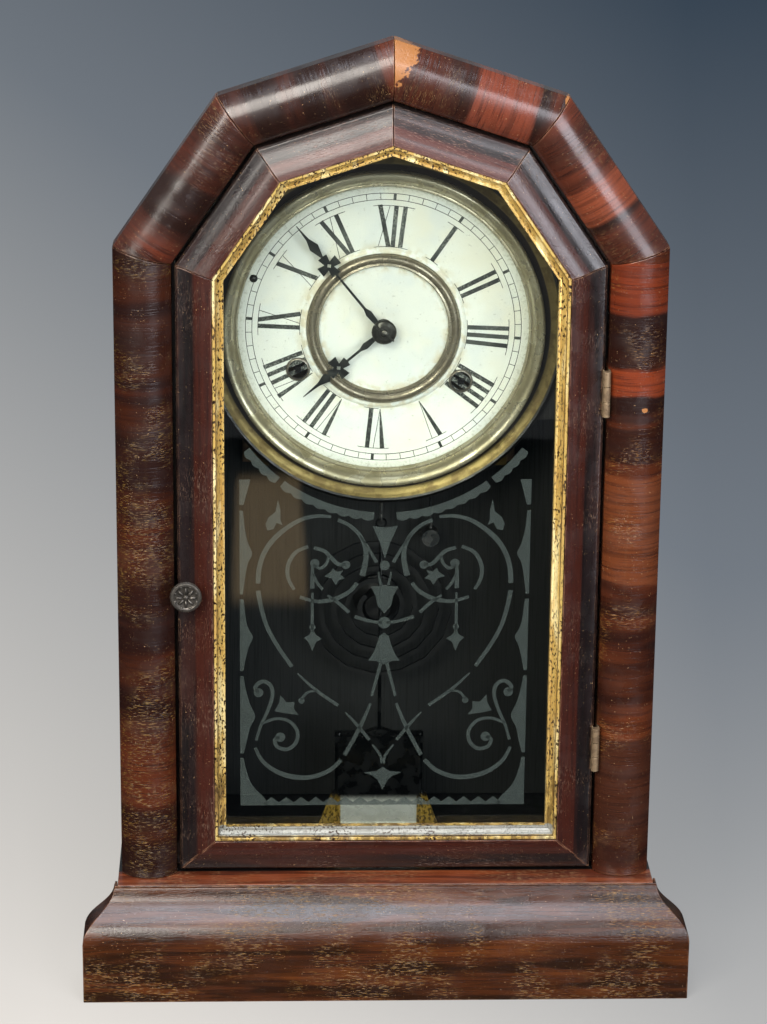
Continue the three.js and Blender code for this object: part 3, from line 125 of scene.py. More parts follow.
class Surface:
    """A material in the making: its tree, the place on the object in metres, and its shader."""

    def __init__(self, name: str) -> None:
        """Starts a material with a principled shader.

        Args:
            name: Name of the material.
        """
        self.material = bpy.data.materials.new(name)
        self.material.use_nodes = True
        self.tree = self.material.node_tree
        self.tree.nodes.clear()
        self.shader = self.node("BsdfPrincipled")
        self.output = self.node("OutputMaterial", None, {"Surface": self.shader.outputs[0]})
        self.place = self.node("TexCoord").outputs["Object"]
        self.normal = self.node("NewGeometry").outputs["Normal"]

    def node(self, kind: str, settings: Settings = None, inputs: Inputs = None) -> Any:
        """Adds a shader node to this material's tree."""
        return add(self.tree, f"ShaderNode{kind}", settings, inputs)

    def lean(self, degrees: float) -> None:
        """Turns the place about Y, so that its x points along a direction that leans that far up from +X."""
        turn = {"Vector": self.place, "Rotation": (0.0, math.radians(degrees), 0.0)}
        self.place = self.node("Mapping", None, turn).outputs[0]

    def axis(self, name: str) -> Any:
        """The place along one axis, in metres."""
        return self.node("SeparateXYZ", None, {0: self.place}).outputs[name]

    def ramp(self, value: Any, low: float, high: float, start: float = 0.0, end: float = 1.0) -> Any:
        """Maps a value smoothly from one range to another and holds it there."""
        ranges = {"Value": value, 1: low, 2: high, 3: start, 4: end}
        return self.node("MapRange", {"interpolation_type": "SMOOTHSTEP"}, ranges).outputs[0]

    def times(self, *masks: Any) -> Any:
        """The product of masks or numbers.

        Args:
            masks: The masks or numbers.

        Returns:
            The product.
        """
        result = masks[0]
        for mask in masks[1:]:
            result = self.node("Math", {"operation": "MULTIPLY"}, {0: result, 1: mask}).outputs[0]
        return result

    def speckle(
        self, size: float | Triple, low: float, high: float, seed: float = 0.0, detail: float = 2.0,
        waviness: float = 0.0,
    ) -> Any:
        """A mask that is one where noise of a real size rises above a level.

        Args:
            size: Width of one patch, or its widths along the three axes, in millimetres.
            low: Noise level where the mask starts.
            high: Noise level where it is full.
            seed: Moves the pattern.
            detail: Finer layers in the noise.
            waviness: How far the noise is bent.

        Returns:
            The mask.
        """
        widths = size if isinstance(size, tuple) else (size, size, size)
        shift = tuple(step * seed for step in SEED_STEP)
        scale = tuple(1 / (width * MM) for width in widths)
        moved = {"Vector": self.place, "Location": shift, "Scale": scale}
        patches = self.node("Mapping", None, moved)
        grit = {"Vector": patches.outputs[0], "Scale": 1.0, "Detail": detail, "Distortion": waviness}
        return self.ramp(self.node("TexNoise", None, grit).outputs[0], low, high)

    def spot(self, centre: Triple, reach: Triple, ragged: float = 0.25) -> Any:
        """A mask that is one inside an ellipsoid with a ragged edge; centre and reach in millimetres.

        Args:
            centre: Its middle.
            reach: Its half widths.
            ragged: How rough its edge is.

        Returns:
            The mask.
        """
        scale = tuple(1 / (r * MM) for r in reach)
        shift = tuple(-c / r for c, r in zip(centre, reach))
        mapped = self.node("Mapping", None, {"Vector": self.place, "Location": shift, "Scale": scale})
        far = self.node("VectorMath", {"operation": "LENGTH"}, {0: mapped.outputs[0]}).outputs["Value"]
        rough = self.speckle(2.2, 0.3, 0.7, centre[0])
        torn = {0: rough, 1: ragged, 2: far}
        edge = self.node("Math", {"operation": "MULTIPLY_ADD"}, torn).outputs[0]
        return self.ramp(edge, 1.06, 0.98)

    def band(self, axis: str, middle: float, half: float, soft: float, wobble: float = 0.0) -> Any:
        """A mask that is one within a band across one axis; all sizes in millimetres.

        Args:
            axis: The axis.
            middle: Middle of the band.
            half: Half its width.
            soft: Half the width of its edges.
            wobble: How far it wanders.

        Returns:
            The mask.
        """
        value = self.axis(axis)
        if wobble:
            drift = self.speckle(40.0, 0.2, 0.8, middle)
            bent = {0: drift, 1: wobble * MM, 2: value}
            value = self.node("Math", {"operation": "MULTIPLY_ADD"}, bent).outputs[0]
        away = self.node("Math", {"operation": "SUBTRACT"}, {0: value, 1: middle * MM}).outputs[0]
        far = self.node("Math", {"operation": "ABSOLUTE"}, {0: away}).outputs[0]
        return self.ramp(far, (half + soft) * MM, (half - soft) * MM)

    def radius(self, centre: Point) -> Any:
        """Distance from an axis along Y, in metres; the centre in millimetres.

        Args:
            centre: The axis's place across and up.

        Returns:
            The distance.
        """
        middle = (-centre[0] * MM, 0.0, -centre[1] * MM)
        shift = {"Vector": self.place, "Location": middle, "Scale": (1.0, 0.0, 1.0)}
        mapped = self.node("Mapping", None, shift).outputs[0]
        return self.node("VectorMath", {"operation": "LENGTH"}, {0: mapped}).outputs["Value"]

    def arris(self, radius: float) -> Any:
        """A mask that is one at sharp outer edges, within a radius in millimetres.

        Args:
            radius: The radius.

        Returns:
            The mask.
        """
        eased = self.node("Bevel", {"samples": 4}, {"Radius": radius * MM}).outputs[0]
        turn = {0: eased, 1: self.normal}
        dot = self.node("VectorMath", {"operation": "DOT_PRODUCT"}, turn).outputs["Value"]
        return self.ramp(dot, 0.995, 0.86)

    def front_faces(self) -> Any:
        """A mask that is one on faces that look forwards."""
        return self.ramp(self.node("SeparateXYZ", None, {0: self.normal}).outputs["Y"], 0.2, -0.2)

    def layers(self, ground: str, *coats: Coat) -> Any:
        """Lays colours over one another, each through its own mask.

        Args:
            ground: Hex colour underneath.
            coats: The colours, from the lowest to the highest.

        Returns:
            The colour.
        """
        colour: Any = linear(ground)
        for mask, code, *share in coats:
            mixed = {0: self.times(mask, *share), 6: colour, 7: linear(code)}
            colour = self.node("Mix", {"data_type": "RGBA"}, mixed).outputs[2]
        return colour

    def finish(
        self, colour: Any, gloss: Any, rough: Point, relief: Sequence[tuple[Any, float]] = (), **own: Any
    ) -> Material:
        """Connects the colour, the roughness and the relief.

        Args:
            colour: Colour socket.
            gloss: Mask that runs from the first roughness to the second.
            rough: The two roughness values.
            relief: Masks with their heights in millimetres.
            own: Values for the shader's own sockets, with _ for a space.

        Returns:
            The finished material.
        """
        self.tree.links.new(colour, self.shader.inputs["Base Color"])
        self.tree.links.new(self.ramp(gloss, 0.0, 1.0, *rough), self.shader.inputs["Roughness"])
        bump = None
        for mask, height in relief:
            settings = {"Height": mask, "Distance": height * MM, "Strength": 1.0}
            if bump:
                settings["Normal"] = bump
            bump = self.node("Bump", None, settings).outputs[0]
        if bump:
            self.tree.links.new(bump, self.shader.inputs["Normal"])
        for name, value in own.items():
            self.shader.inputs[name.replace("_", " ")].default_value = value
        return self.material

    def replace_shader(self, shader: Any) -> Material:
        """Puts another shader in the principled one's place.

        Args:
            shader: Output of the other shader.

        Returns:
            The finished material.
        """
        self.tree.links.new(shader, self.output.inputs["Surface"])
        self.tree.nodes.remove(self.shader)
        return self.material


# ---------------------------------------------------------------- finishes
class Side(Enum):
    """A straight member of the arched front: the direction of its outer side, in degrees up from +X, and
    how far the case's outline stands from the origin on that side, in millimetres."""

    RIGHT = (0.0, 117.7)
    RIGHT_LOWER = (34.5, 288.2)
    RIGHT_UPPER = (71.9, 404.5)
    LEFT_UPPER = (108.1, 404.5)
    LEFT_LOWER = (145.5, 288.2)
    LEFT = (180.0, 117.7)
    FOOT = (-90.0, -26.3)

    @property
    def place(self) -> str:
        """The side's name as the nodes have it."""
        return self.name.lower()


ARCH = (Side.LEFT_LOWER, Side.LEFT_UPPER, Side.RIGHT_UPPER, Side.RIGHT_LOWER)


class Grain(Enum):
    """Which way the veneer's grain runs on a member."""

    ALONG = "along"
    ACROSS = "across"

    def patch(self, fine: float, long: float) -> Triple:
        """Size of a patch of figure that is fine across the grain and long along it, in millimetres."""
        return (fine, fine, long) if self is Grain.ALONG else (long, long, fine)


class Inside(Enum):
    """Which faces of a board look into the case and get near-black painted shade."""

    NONE = "none"
    TOWARDS_AXIS = "towards the axis"
    BEHIND_DOOR = "behind the door"


@dataclass(frozen=True)
class RosewoodVeneer:
    """Sawn rosewood veneer under old shellac: banded red and near-black figure with open pores, a soft waxy
    shine that breaks up where the shellac has crazed, tan where corners are rubbed."""

    name: str
    side: Side
    grain: Grain
    dark: str = "#1c0c08"
    middle: str = "#37180e"
    light: str = "#572513"
    fleck: str = "#8a6a3c"
    crazed: Point = (0.5, 0.62)  # noise levels where the crazed patches start and are full
    figure: Point = (24.0, 170.0)
    bands: tuple[tuple[float, float, str], ...] = ()  # place along the member, half width and colour
    chips: tuple[tuple[Triple, Triple], ...] = ()  # centre and reach of patches of bare wood
    slope: str | None = None  # colour of the inner half of a door rail
    rough: Point = (0.2, 0.38)
    crackle: float = 0.0  # height of the fine crackle in the shellac, in millimetres
    inside: Inside = Inside.NONE
    seed: float = 0.0
    open_pore: str = "#170b0b"
    lost_shellac: str = "#b9986e"
    rubbed_corner: str = "#9c7358"
    bare_wood: str = "#8a5c34"
    # near-black painted shade on the faces inside the case
    stained: str = "#0b0a0a"

    def material(self) -> Material:
        """Builds the veneer's material.

        Returns:
            The material.
        """
        surface = Surface(self.name)
        hidden = self._hidden(surface)
        angle, reach = self.side.value
        surface.lean(angle)
        patch, seed = self.grain.patch, self.seed
        fine, long = self.figure
        figure = surface.speckle(patch(fine, long), 0.42, 0.58, seed, 3.0, 0.4)
        glow = surface.speckle(patch(fine * 1.3, long), 0.5, 0.68, seed + 1.7, 3.0, 0.3)
        pores = surface.speckle(patch(0.55, 16.0), 0.5, 0.72, seed + 2.9, 4.0)
        threads = surface.speckle(patch(1.6, 60.0), 0.45, 0.7, seed + 4.1, 3.0)
        cluster = surface.speckle((34.0, 34.0, 26.0), *self.crazed, seed + 6.0, 2.0)
        craze = surface.times(surface.speckle(patch(0.3, 2.4), 0.54, 0.68, seed + 7.0, 4.0), cluster)
        dots = surface.speckle(patch(0.4, 0.9), 0.74, 0.78, seed + 8.0, 1.0)
        rubbed = surface.times(surface.arris(0.9), surface.speckle(6.0, 0.35, 0.62, seed + 9.0))
        coats: list[Coat] = [(figure, self.dark), (glow, self.light, 0.85)]
        if self.slope:
            inner = surface.ramp(surface.axis("X"), *((reach - start) * MM for start in SLOPE))
            coats.append((inner, self.slope, 0.8))
        for middle, half, code in self.bands:
            coats.append((surface.band("Z", middle, half, 1.2, 5.0), code, 0.85))
        coats += [
            (threads, self.dark, 0.45), (pores, self.open_pore, 0.6), (craze, self.fleck, 0.45),
            (dots, self.lost_shellac, 0.55), (rubbed, self.rubbed_corner, 0.6),
        ]
        coats += [(surface.spot(centre, size), self.bare_wood) for centre, size in self.chips]
        # faces inside the case: near-black painted shade
        if hidden is not None:
            coats.append((hidden, self.stained))
        gloss = surface.speckle(12.0, 0.3, 0.75, seed + 3.0, 3.0)
        swell = surface.speckle(patch(9.0, 40.0), 0.2, 0.8, seed + 5.0, 1.0)
        relief = [(swell, 0.12), (pores, -0.03), (craze, 0.06)]
        if self.crackle:
            relief.append((surface.speckle(patch(0.6, 1.5), 0.3, 0.7, seed + 10.0, 3.0), self.crackle))
        return surface.finish(
            surface.layers(self.middle, *coats), gloss, self.rough, relief,
            Specular_IOR_Level=0.4, Coat_Weight=0.25, Coat_Roughness=0.14,
        )

    def _hidden(self, surface: Surface) -> Any:
        """Mask of the faces that look into the case, on the object's own axes, or None.

        Args:
            surface: The material in the making.

        Returns:
            The mask, or None.
        """
        if self.inside is Inside.TOWARDS_AXIS:
            middle = (0.0, 0.0, -BOX_AXIS * MM)
            outward = {"Vector": surface.place, "Location": middle, "Scale": (1.0, 0.0, 1.0)}
            both = {0: surface.node("Mapping", None, outward).outputs[0], 1: surface.normal}
            facing = surface.node("VectorMath", {"operation": "DOT_PRODUCT"}, both)
            return surface.ramp(facing.outputs["Value"], 0.001, -0.001)
        if self.inside is Inside.BEHIND_DOOR:
            return surface.ramp(surface.axis("Y"), *(y * MM for y in DOOR_BACK))
        return None


@dataclass(frozen=True)
class RawBoard:
    """Sawn pine left bare, or near-black as painted shade inside the case: straight growth lines, matt, with
    grey dirt in the open grain.
    """

    name: str
    base: str
    line: str
    dirt: str
    # colour of the faces that look forwards into the case: near-black painted shade
    inside: str | None = None

    def material(self) -> Material:
        """Builds the board's material.

        Returns:
            The material.
        """
        surface = Surface(self.name)
        lines = surface.speckle((5.0, 5.0, 180.0), 0.42, 0.66, 1.0, 3.0, 0.3)
        fibre = surface.speckle((0.8, 0.8, 30.0), 0.4, 0.7, 2.0, 3.0)
        grime = surface.speckle((45.0, 45.0, 60.0), 0.42, 0.7, 3.0, 3.0)
        coats = [(lines, self.line), (fibre, self.line, 0.35), (grime, self.dirt, 0.6)]
        # painted shade on the faces towards the inside of the case
        if self.inside:
            coats.append((surface.front_faces(), self.inside))
        colour = surface.layers(self.base, *coats)
        return surface.finish(colour, fibre, (0.6, 0.85), [(fibre, 0.02), (lines, 0.02)])


@dataclass(frozen=True)
class AgedMetal:
    """Cast, rolled or drawn metal with years of tarnish: bright where it is handled, brown in the hollows."""

    name: str
    base: str
    tarnish: str
    bright: str
    metallic: float = 1.0
    rough: Point = (0.25, 0.5)
    patch: float = 9.0
    worn: float = 0.5

    def material(self) -> Material:
        """Builds the metal's material.

        Returns:
            The material.
        """
        surface = Surface(self.name)
        size = self.patch
        stain = surface.speckle(size, 0.42, 0.62, size, 4.0)
        pits = surface.speckle(0.7, 0.6, 0.75, size + 1.0, 2.0)
        brushed = surface.speckle((14.0, 14.0, 0.5), 0.3, 0.7, size + 2.0, 2.0)
        rubbed = surface.times(surface.arris(0.5), self.worn)
        coats = ((stain, self.tarnish, 0.75), (pits, self.tarnish), (rubbed, self.bright))
        colour = surface.layers(self.base, *coats)
        relief = [(brushed, 0.006), (pits, -0.02)]
        return surface.finish(colour, stain, self.rough, relief, Metallic=self.metallic)


@dataclass(frozen=True)
class WaterGilding:
    """Gold leaf on red clay over carved wood: warm and half-matt, rubbed through to dark spots."""

    name: str
    leaf: str = "#c0a35c"
    bright: str = "#ecdfa8"
    clay: str = "#2c1a10"

    def material(self) -> Material:
        """Builds the gilding's material.

        Returns:
            The material.
        """
        surface = Surface(self.name)
        dull = surface.speckle((9.0, 9.0, 22.0), 0.4, 0.66, 1.0, 3.0)
        clean = surface.speckle((5.0, 5.0, 30.0), 0.5, 0.7, 2.0, 2.0)
        spots = surface.speckle((0.9, 0.9, 1.5), 0.53, 0.6, 3.0, 3.0)
        thick = surface.speckle((20.0, 20.0, 40.0), 0.3, 0.55, 4.0, 2.0)
        foot = surface.ramp(surface.axis("Z"), 0.135, 0.085)
        worn = surface.times(foot, surface.speckle((3.0, 3.0, 9.0), 0.42, 0.56, 5.0, 3.0))
        cove = surface.band("Y", -34.2, 1.5, 0.4)
        silver = surface.times(surface.ramp(surface.axis("Z"), 0.0738, 0.0732), cove)
        colour = surface.layers(
            self.leaf,
            (dull, "#9c7838", 0.6),
            (clean, self.bright, 0.8),
            (worn, "#4a3318", 0.7),
            (silver, "#8c8d86"),
            (surface.times(spots, thick), self.clay),
            # thin dark line along the slip's front: painted shadow, in the clay's colour
            (surface.band("Y", -36.3, 0.35, 0.25), self.clay),
        )
        return surface.finish(colour, dull, (0.24, 0.48), [(spots, -0.05), (dull, 0.03)], Metallic=0.4)


@dataclass(frozen=True)
class DialPaint:
    """Zinc dial painted white and lacquered: cool white, cream stains near the metal, painted shade greying it
    towards the bezel and darkening it outside the bezel, a rolled brass rim.
    """

    name: str

    def material(self) -> Material:
        """Builds the dial's material.

        Returns:
            The material.
        """
        surface = Surface(self.name)
        reach = surface.radius(ARBOR)
        cream = surface.speckle(26.0, 0.46, 0.7, 1.0, 3.0)
        cool = surface.speckle(18.0, 0.46, 0.66, 2.0, 3.0)
        grime = surface.speckle(1.0, 0.68, 0.74, 3.0, 2.0)
        near = surface.times(surface.ramp(reach, 0.041, 0.034), surface.ramp(reach, 0.024, 0.028))
        stain = surface.times(near, surface.speckle(3.5, 0.4, 0.62, 4.0, 4.0))
        # greyer towards the bezel: painted shade
        edge = surface.ramp(reach, 0.0595, 0.0640)
        specks = surface.times(edge, surface.speckle(1.2, 0.5, 0.66, 6.0, 3.0))
        rim = surface.times(surface.ramp(reach, 0.0728, 0.0736), surface.ramp(reach, 0.0776, 0.0768))
        # near-black outside the rim and dark in the groove between bezel and rim: painted shade
        beyond = surface.ramp(reach, 0.0768, 0.0776)
        gap = surface.ramp(reach, 0.0690, 0.0700)
        tarnish = surface.speckle(5.0, 0.42, 0.62, 5.0, 4.0)
        colour = surface.layers(
            "#e8eadf",
            (cream, "#e6e2cb", 0.6),
            (cool, "#d9dfdc", 0.6),
            (edge, "#b7b8a8", 0.45),
            (specks, "#8d8c70", 0.5),
            (stain, "#c8b98f", 0.6),
            (grime, "#8a8a78", 0.5),
            (gap, "#1d1510"),
            (rim, "#a8945f"),
            (surface.times(rim, tarnish), "#6b5836", 0.7),
            (beyond, "#0d0b09"),
        )
        surface.tree.links.new(surface.times(rim, 0.8), surface.shader.inputs["Metallic"])
        return surface.finish(colour, tarnish, (0.34, 0.46), [(cool, 0.05)])


@dataclass(frozen=True)
class DialInk:
    """Black dial paint put on with a pen: it has flaked into grey where the brush was dry."""

    name: str
    flaked: float = 0.5

    def material(self) -> Material:
        """Builds the ink's material.

        Returns:
            The material.
        """
        surface = Surface(self.name)
        worn = surface.speckle(14.0, 0.42, 0.62, 2.0, 2.0)
        flakes = surface.times(
            surface.speckle(0.6, 0.52, 0.6, 3.0, 3.0), surface.speckle(18.0, 0.35, 0.6, 5.0)
        )
        colour = surface.layers(
            "#2b2e2a",
            (worn, "#5f645d", 0.35),
            (surface.times(flakes, self.flaked), "#a3a79c"),
        )
        return surface.finish(colour, flakes, (0.4, 0.6))


@dataclass(frozen=True)
class WindowGlass:
    """Drawn window glass: clear, with a faint wave in its shine."""

    name: str
    tint: str
    ior: float = 1.5
    mirror_share: float = 0.8  # of what a clean pane mirrors, matched to the photograph

    def material(self) -> Material:
        """Builds the glass.

        Returns:
            The material.
        """
        surface = Surface(self.name)
        wave = surface.speckle((60.0, 60.0, 90.0), 0.2, 0.8, 1.0, 1.0)
        height = {"Height": wave, "Distance": 0.15 * MM, "Strength": 0.4}
        bump = surface.node("Bump", None, height).outputs[0]
        clear = surface.node("BsdfTransparent", None, {"Color": linear(self.tint)})
        shine = surface.node("BsdfAnisotropic", None, {"Roughness": 0.02, "Normal": bump})
        mirrored = surface.node("Fresnel", None, {"IOR": self.ior, "Normal": bump}).outputs[0]
        mixed = {0: surface.times(mirrored, self.mirror_share), 1: clear.outputs[0], 2: shine.outputs[0]}
        return surface.replace_shader(surface.node("MixShader", None, mixed).outputs[0])


@dataclass(frozen=True)
class Frosting:
    """White enamel sprayed thinly through a stencil and fired: a grey, slightly grainy veil on the glass."""

    name: str
    colour: str = "#454c4b"

    def material(self) -> Material:
        """Builds the frosting's material.

        Returns:
            The material.
        """
        surface = Surface(self.name)
        grain = surface.speckle(0.5, 0.35, 0.7, 1.0, 2.0)
        patches = surface.speckle(16.0, 0.35, 0.7, 2.0, 2.0)
        colour = surface.layers(
            self.colour, (patches, "#373c3b", 0.5), (grain, "#5d6462", 0.25)
        )
        return surface.finish(colour, grain, (0.6, 0.8), Alpha=0.55)


# ---------------------------------------------------------------- shapes
def placed(name: str, data: bpy.types.ID) -> Piece:
    """Puts a mesh, lamp or camera in the scene as an object.

    Args:
        name: Name of the object.
        data: Its mesh, lamp or camera.

    Returns:
        The object.
    """
    thing = bpy.data.objects.new(name, data)
    bpy.context.scene.collection.objects.link(thing)
    return thing


def coat(mesh: bpy.types.Mesh, material: Material, sharp: float) -> None:
    """Gives a mesh its only finish and soft shading.

    Args:
        mesh: The mesh.
        material: Its finish.
        sharp: Edges that turn by more than this many degrees stay sharp.
    """
    mesh.shade_smooth()
    mesh.set_sharp_from_angle(angle=math.radians(sharp))
    mesh.materials.clear()
    mesh.materials.append(material)


def smooth_path(points: Sequence[Point], steps: int = 6) -> list[Point]:
    """Rounds a path through its points.

    Args:
        points: The path's points.
        steps: Points made for each span.

    Returns:
        The finer path.
    """
    padded = [points[0], *points, points[-1]]
    path: list[Point] = []
    for a, b, c, d in zip(padded, padded[1:], padded[2:], padded[3:]):
        for k in range(steps):
            t = k / steps
            shares = (
                (2 * t**2 - t - t**3) / 2, (2 - 5 * t**2 + 3 * t**3) / 2,
                (t + 4 * t**2 - 3 * t**3) / 2, (t**3 - t**2) / 2,
            )
            path.append(tuple(sum(share * v for share, v in zip(shares, axis)) for axis in zip(a, b, c, d)))
    return [*path, points[-1]]


class Workpiece:
    """A mesh in the making, in millimetres, that becomes one object riding on a body."""

    def __init__(self) -> None:
        """Starts an empty mesh."""
        self.mesh = bmesh.new()

    def loft(self, rings: Sequence[Sequence[Triple]], closed: bool = False) -> None:
        """Joins rings of points with faces, with flat ends unless the rings close on themselves.

        Args:
            rings: The rings, each with the same number of points.
            closed: Whether the last ring is joined to the first.
        """
        made = [[self.mesh.verts.new(p) for p in ring] for ring in rings]
        spans = list(zip(made, made[1:])) + ([(made[-1], made[0])] if closed else [])
        for here, there in spans:
            for i, _ in enumerate(here):
                j = (i + 1) % len(here)
                self.mesh.faces.new((here[i], there[i], there[j], here[j]))
        if not closed:
            self.mesh.faces.new(made[0])
            self.mesh.faces.new(reversed(made[-1]))

    def sheet(self, outline: Sequence[Point], front: float, back: float) -> None:
        """A flat sheet with an outline on XZ, between two depths."""
        self.loft([[(x, y, z) for x, z in outline] for y in (front, back)])

    def disc(self, centre: Point, radius: float, front: float, back: float, steps: int = 24) -> None:
        """A round flat sheet.

        Args:
            centre: Its middle across and up.
            radius: Its radius.
            front: Depth of the front.
            back: Depth of the back.
            steps: Points round it.
        """
        angles = [math.tau * k / steps for k in range(steps)]
        x, z = centre
        self.sheet([(x + radius * math.cos(a), z + radius * math.sin(a)) for a in angles], front, back)

    def ribbon(self, path: Sequence[Point], widths: Triple, front: float, back: float) -> None:
        """A flat strip along a path, with its width at the start, the middle and the end.

        Args:
            path: Points across and up.
            widths: The three widths.
            front: Depth of the front.
            back: Depth of the back.
        """
        count = len(path) - 1
        rings = []
        for i, (x, z) in enumerate(path):
            before, after = path[max(i - 1, 0)], path[min(i + 1, count)]
            way = Vector((after[0] - before[0], after[1] - before[1])).normalized()
            t = i / count
            near = widths[0] if t < 0.5 else widths[2]
            half = (near + (widths[1] - near) * (1 - abs(2 * t - 1))) / 2
            left, right = (x - way.y * half, z + way.x * half), (x + way.y * half, z - way.x * half)
            corners = ((left, front), (right, front), (right, back), (left, back))
            rings.append([(side[0], y, side[1]) for side, y in corners])
        self.loft(rings)

    def turned(self, profile: Sequence[Point], centre: Point, steps: int = 96) -> None:
        """A closed profile of radius and depth, turned about an axis along Y.

        Args:
            profile: The profile.
            centre: The axis's place.
            steps: Points round it.
        """
        rings = []
        for k in range(steps):
            c, s = math.cos(math.tau * k / steps), math.sin(math.tau * k / steps)
            rings.append([(centre[0] + r * c, y, centre[1] + r * s) for r, y in profile])
        self.loft(rings, closed=True)

    def mirrored(self, middle: float) -> None:
        """Adds the mirror image of everything made so far, about x = middle.

        Args:
            middle: Place of the mirror.
        """
        made = bmesh.ops.duplicate(self.mesh, geom=self.mesh.verts[:] + self.mesh.faces[:])["geom"]
        for vertex in made:
            if isinstance(vertex, bmesh.types.BMVert):
                vertex.co.x = 2 * middle - vertex.co.x

    def done(self, name: str, material: Material, body: str, sharp: float = 35.0) -> Piece:
        """Makes the object.

        Args:
            name: Its name.
            material: Its finish.
            body: The body it rides on.
            sharp: Edges that turn by more than this many degrees stay sharp.

        Returns:
            The object.
        """
        bmesh.ops.remove_doubles(self.mesh, verts=self.mesh.verts, dist=1e-4)
        bmesh.ops.recalc_face_normals(self.mesh, faces=self.mesh.faces)
        bmesh.ops.scale(self.mesh, vec=(MM, MM, MM), verts=self.mesh.verts)
        mesh = bpy.data.meshes.new(name)
        self.mesh.to_mesh(mesh)
        self.mesh.free()
        coat(mesh, material, sharp)
        thing = placed(name, mesh)
        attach(thing, body)
        return thing


def paint(node: str, material: Material) -> None:
    """Gives a CAD node its finish and leaves its mesh alone.

    Args:
        node: The CAD node.
        material: Its finish.
    """
    slots = frame["nodes"][node].data.materials
    slots.clear()
    slots.append(material)


def dress(node: str, material: Material, ease: float = 0.0, sharp: float = 32.0) -> Piece:
    """Replaces a CAD node with a merged copy of it that has soft shading and eased edges.

    Args:
        node: The CAD node.
        material: Its finish.
        ease: Width of the eased edges, in millimetres.
        sharp: Edges that turn by more than this many degrees are edges of the piece.

    Returns:
        The copy.
    """
    mesh = frame["nodes"][node].data.copy()
    work = bmesh.new()
    work.from_mesh(mesh)
    bmesh.ops.remove_doubles(work, verts=work.verts, dist=1e-6)
    bmesh.ops.dissolve_limit(work, angle_limit=math.radians(0.5), verts=work.verts, edges=work.edges)
    work.to_mesh(mesh)
    work.free()
    coat(mesh, material, sharp)
    copy = placed(f"{node}_finished", mesh)
    if ease:
        bevel = copy.modifiers.new("eased_edges", "BEVEL")
        bevel.width = ease * MM
        bevel.segments = 2
        bevel.limit_method = "ANGLE"
        bevel.angle_limit = math.radians(sharp)
        bevel.harden_normals = True
    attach(copy, frame["nodes"][node]["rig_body"])
    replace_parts(copy, node)
    return copy


# ---------------------------------------------------------------- repeated details, made with Geometry Nodes
@dataclass(frozen=True)
class RoundOfMarks:
    """Equal bars standing outwards round a circle, such as the minute marks of a dial."""

    count: int
    radius: float
    length: float
    width: float
    thickness: float
    turn: float = 0.0

    def object(self, name: str, material: Material, middle: Triple, body: str) -> Piece:
        """Makes the marks as one plain mesh.

        Args:
            name: Name of the piece.
            material: Its finish.
            middle: Centre of the circle, in millimetres.
            body: The body it rides on.

        Returns:
            The piece.
        """
        holder = placed(f"{name}_maker", bpy.data.meshes.new(f"{name}_maker"))
        tree = self._tree(material)
        maker = holder.modifiers.new("marks", "NODES")
        maker.node_group = tree
        sizes = {
            "Count": self.count,
            "Radius": self.radius * MM,
            "Bar": (self.length * MM, self.width * MM, self.thickness * MM),
            "Turn": self.turn,
        }
        for item in tree.interface.items_tree:
            if item.item_type == "SOCKET" and item.in_out == "INPUT" and item.name in sizes:
                maker[item.identifier] = sizes[item.name]
        bpy.context.view_layer.update()
        depsgraph = bpy.context.evaluated_depsgraph_get()
        mesh = bpy.data.meshes.new_from_object(holder.evaluated_get(depsgraph), depsgraph=depsgraph)
        holder.modifiers.remove(maker)
        bpy.data.objects.remove(holder)
        mesh.transform(Matrix.Translation(Vector(middle) * MM) @ Matrix.Rotation(math.pi / 2, 4, "X"))
        mesh.name = name
        thing = placed(name, mesh)
        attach(thing, body)
        return thing

    def _tree(self, material: Material) -> bpy.types.NodeTree:
        """Builds the node tree: a bar on every corner of a circle, turned to stand outwards.

        Args:
            material: The marks' finish.

        Returns:
            The tree.
        """
        tree = bpy.data.node_groups.new("round_of_marks", "GeometryNodeTree")
        tree.interface.new_socket("Geometry", in_out="OUTPUT", socket_type="NodeSocketGeometry")
        for name, kind in (
            ("Count", "NodeSocketInt"),
            ("Radius", "NodeSocketFloat"),
            ("Bar", "NodeSocketVector"),
            ("Turn", "NodeSocketFloat"),
        ):
            tree.interface.new_socket(name, in_out="INPUT", socket_type=kind)
        size = add(tree, "NodeGroupInput").outputs
        round_it = {"Vertices": size["Count"], "Radius": size["Radius"]}
        circle = add(tree, "GeometryNodeMeshCircle", None, round_it)
        bar = add(tree, "GeometryNodeMeshCube", None, {"Size": size["Bar"]})
        number = add(tree, "GeometryNodeInputIndex").outputs[0]
        share = add(tree, "ShaderNodeMath", {"operation": "DIVIDE"}, {0: number, 1: size["Count"]}).outputs[0]
        angle = add(tree, "ShaderNodeMath", {"operation": "MULTIPLY"}, {0: share, 1: math.tau}).outputs[0]
        turn = add(tree, "ShaderNodeCombineXYZ", None, {"Z": angle}).outputs[0]
        places = {"Points": circle.outputs[0], "Instance": bar.outputs[0], "Rotation": turn}
        marks = add(tree, "GeometryNodeInstanceOnPoints", None, places).outputs[0]
        real = add(tree, "GeometryNodeRealizeInstances", None, {0: marks}).outputs[0]
        whole = add(tree, "ShaderNodeCombineXYZ", None, {"Z": size["Turn"]}).outputs[0]
        turned = add(tree, "GeometryNodeTransform", None, {"Geometry": real, "Rotation": whole}).outputs[0]
        finish = {"Geometry": turned, "Material": material}
        dressed = add(tree, "GeometryNodeSetMaterial", None, finish).outputs[0]
        add(tree, "NodeGroupOutput", None, {"Geometry": dressed})
        return tree


# ---------------------------------------------------------------- the clock's sub-assemblies
def member(side: Side, across: float, along: float) -> Triple:
    """A place on a member in its own leaning axes: inset from the outline, and distance along it."""
    return (side.value[1] - across, FRONT - 4.0, along)


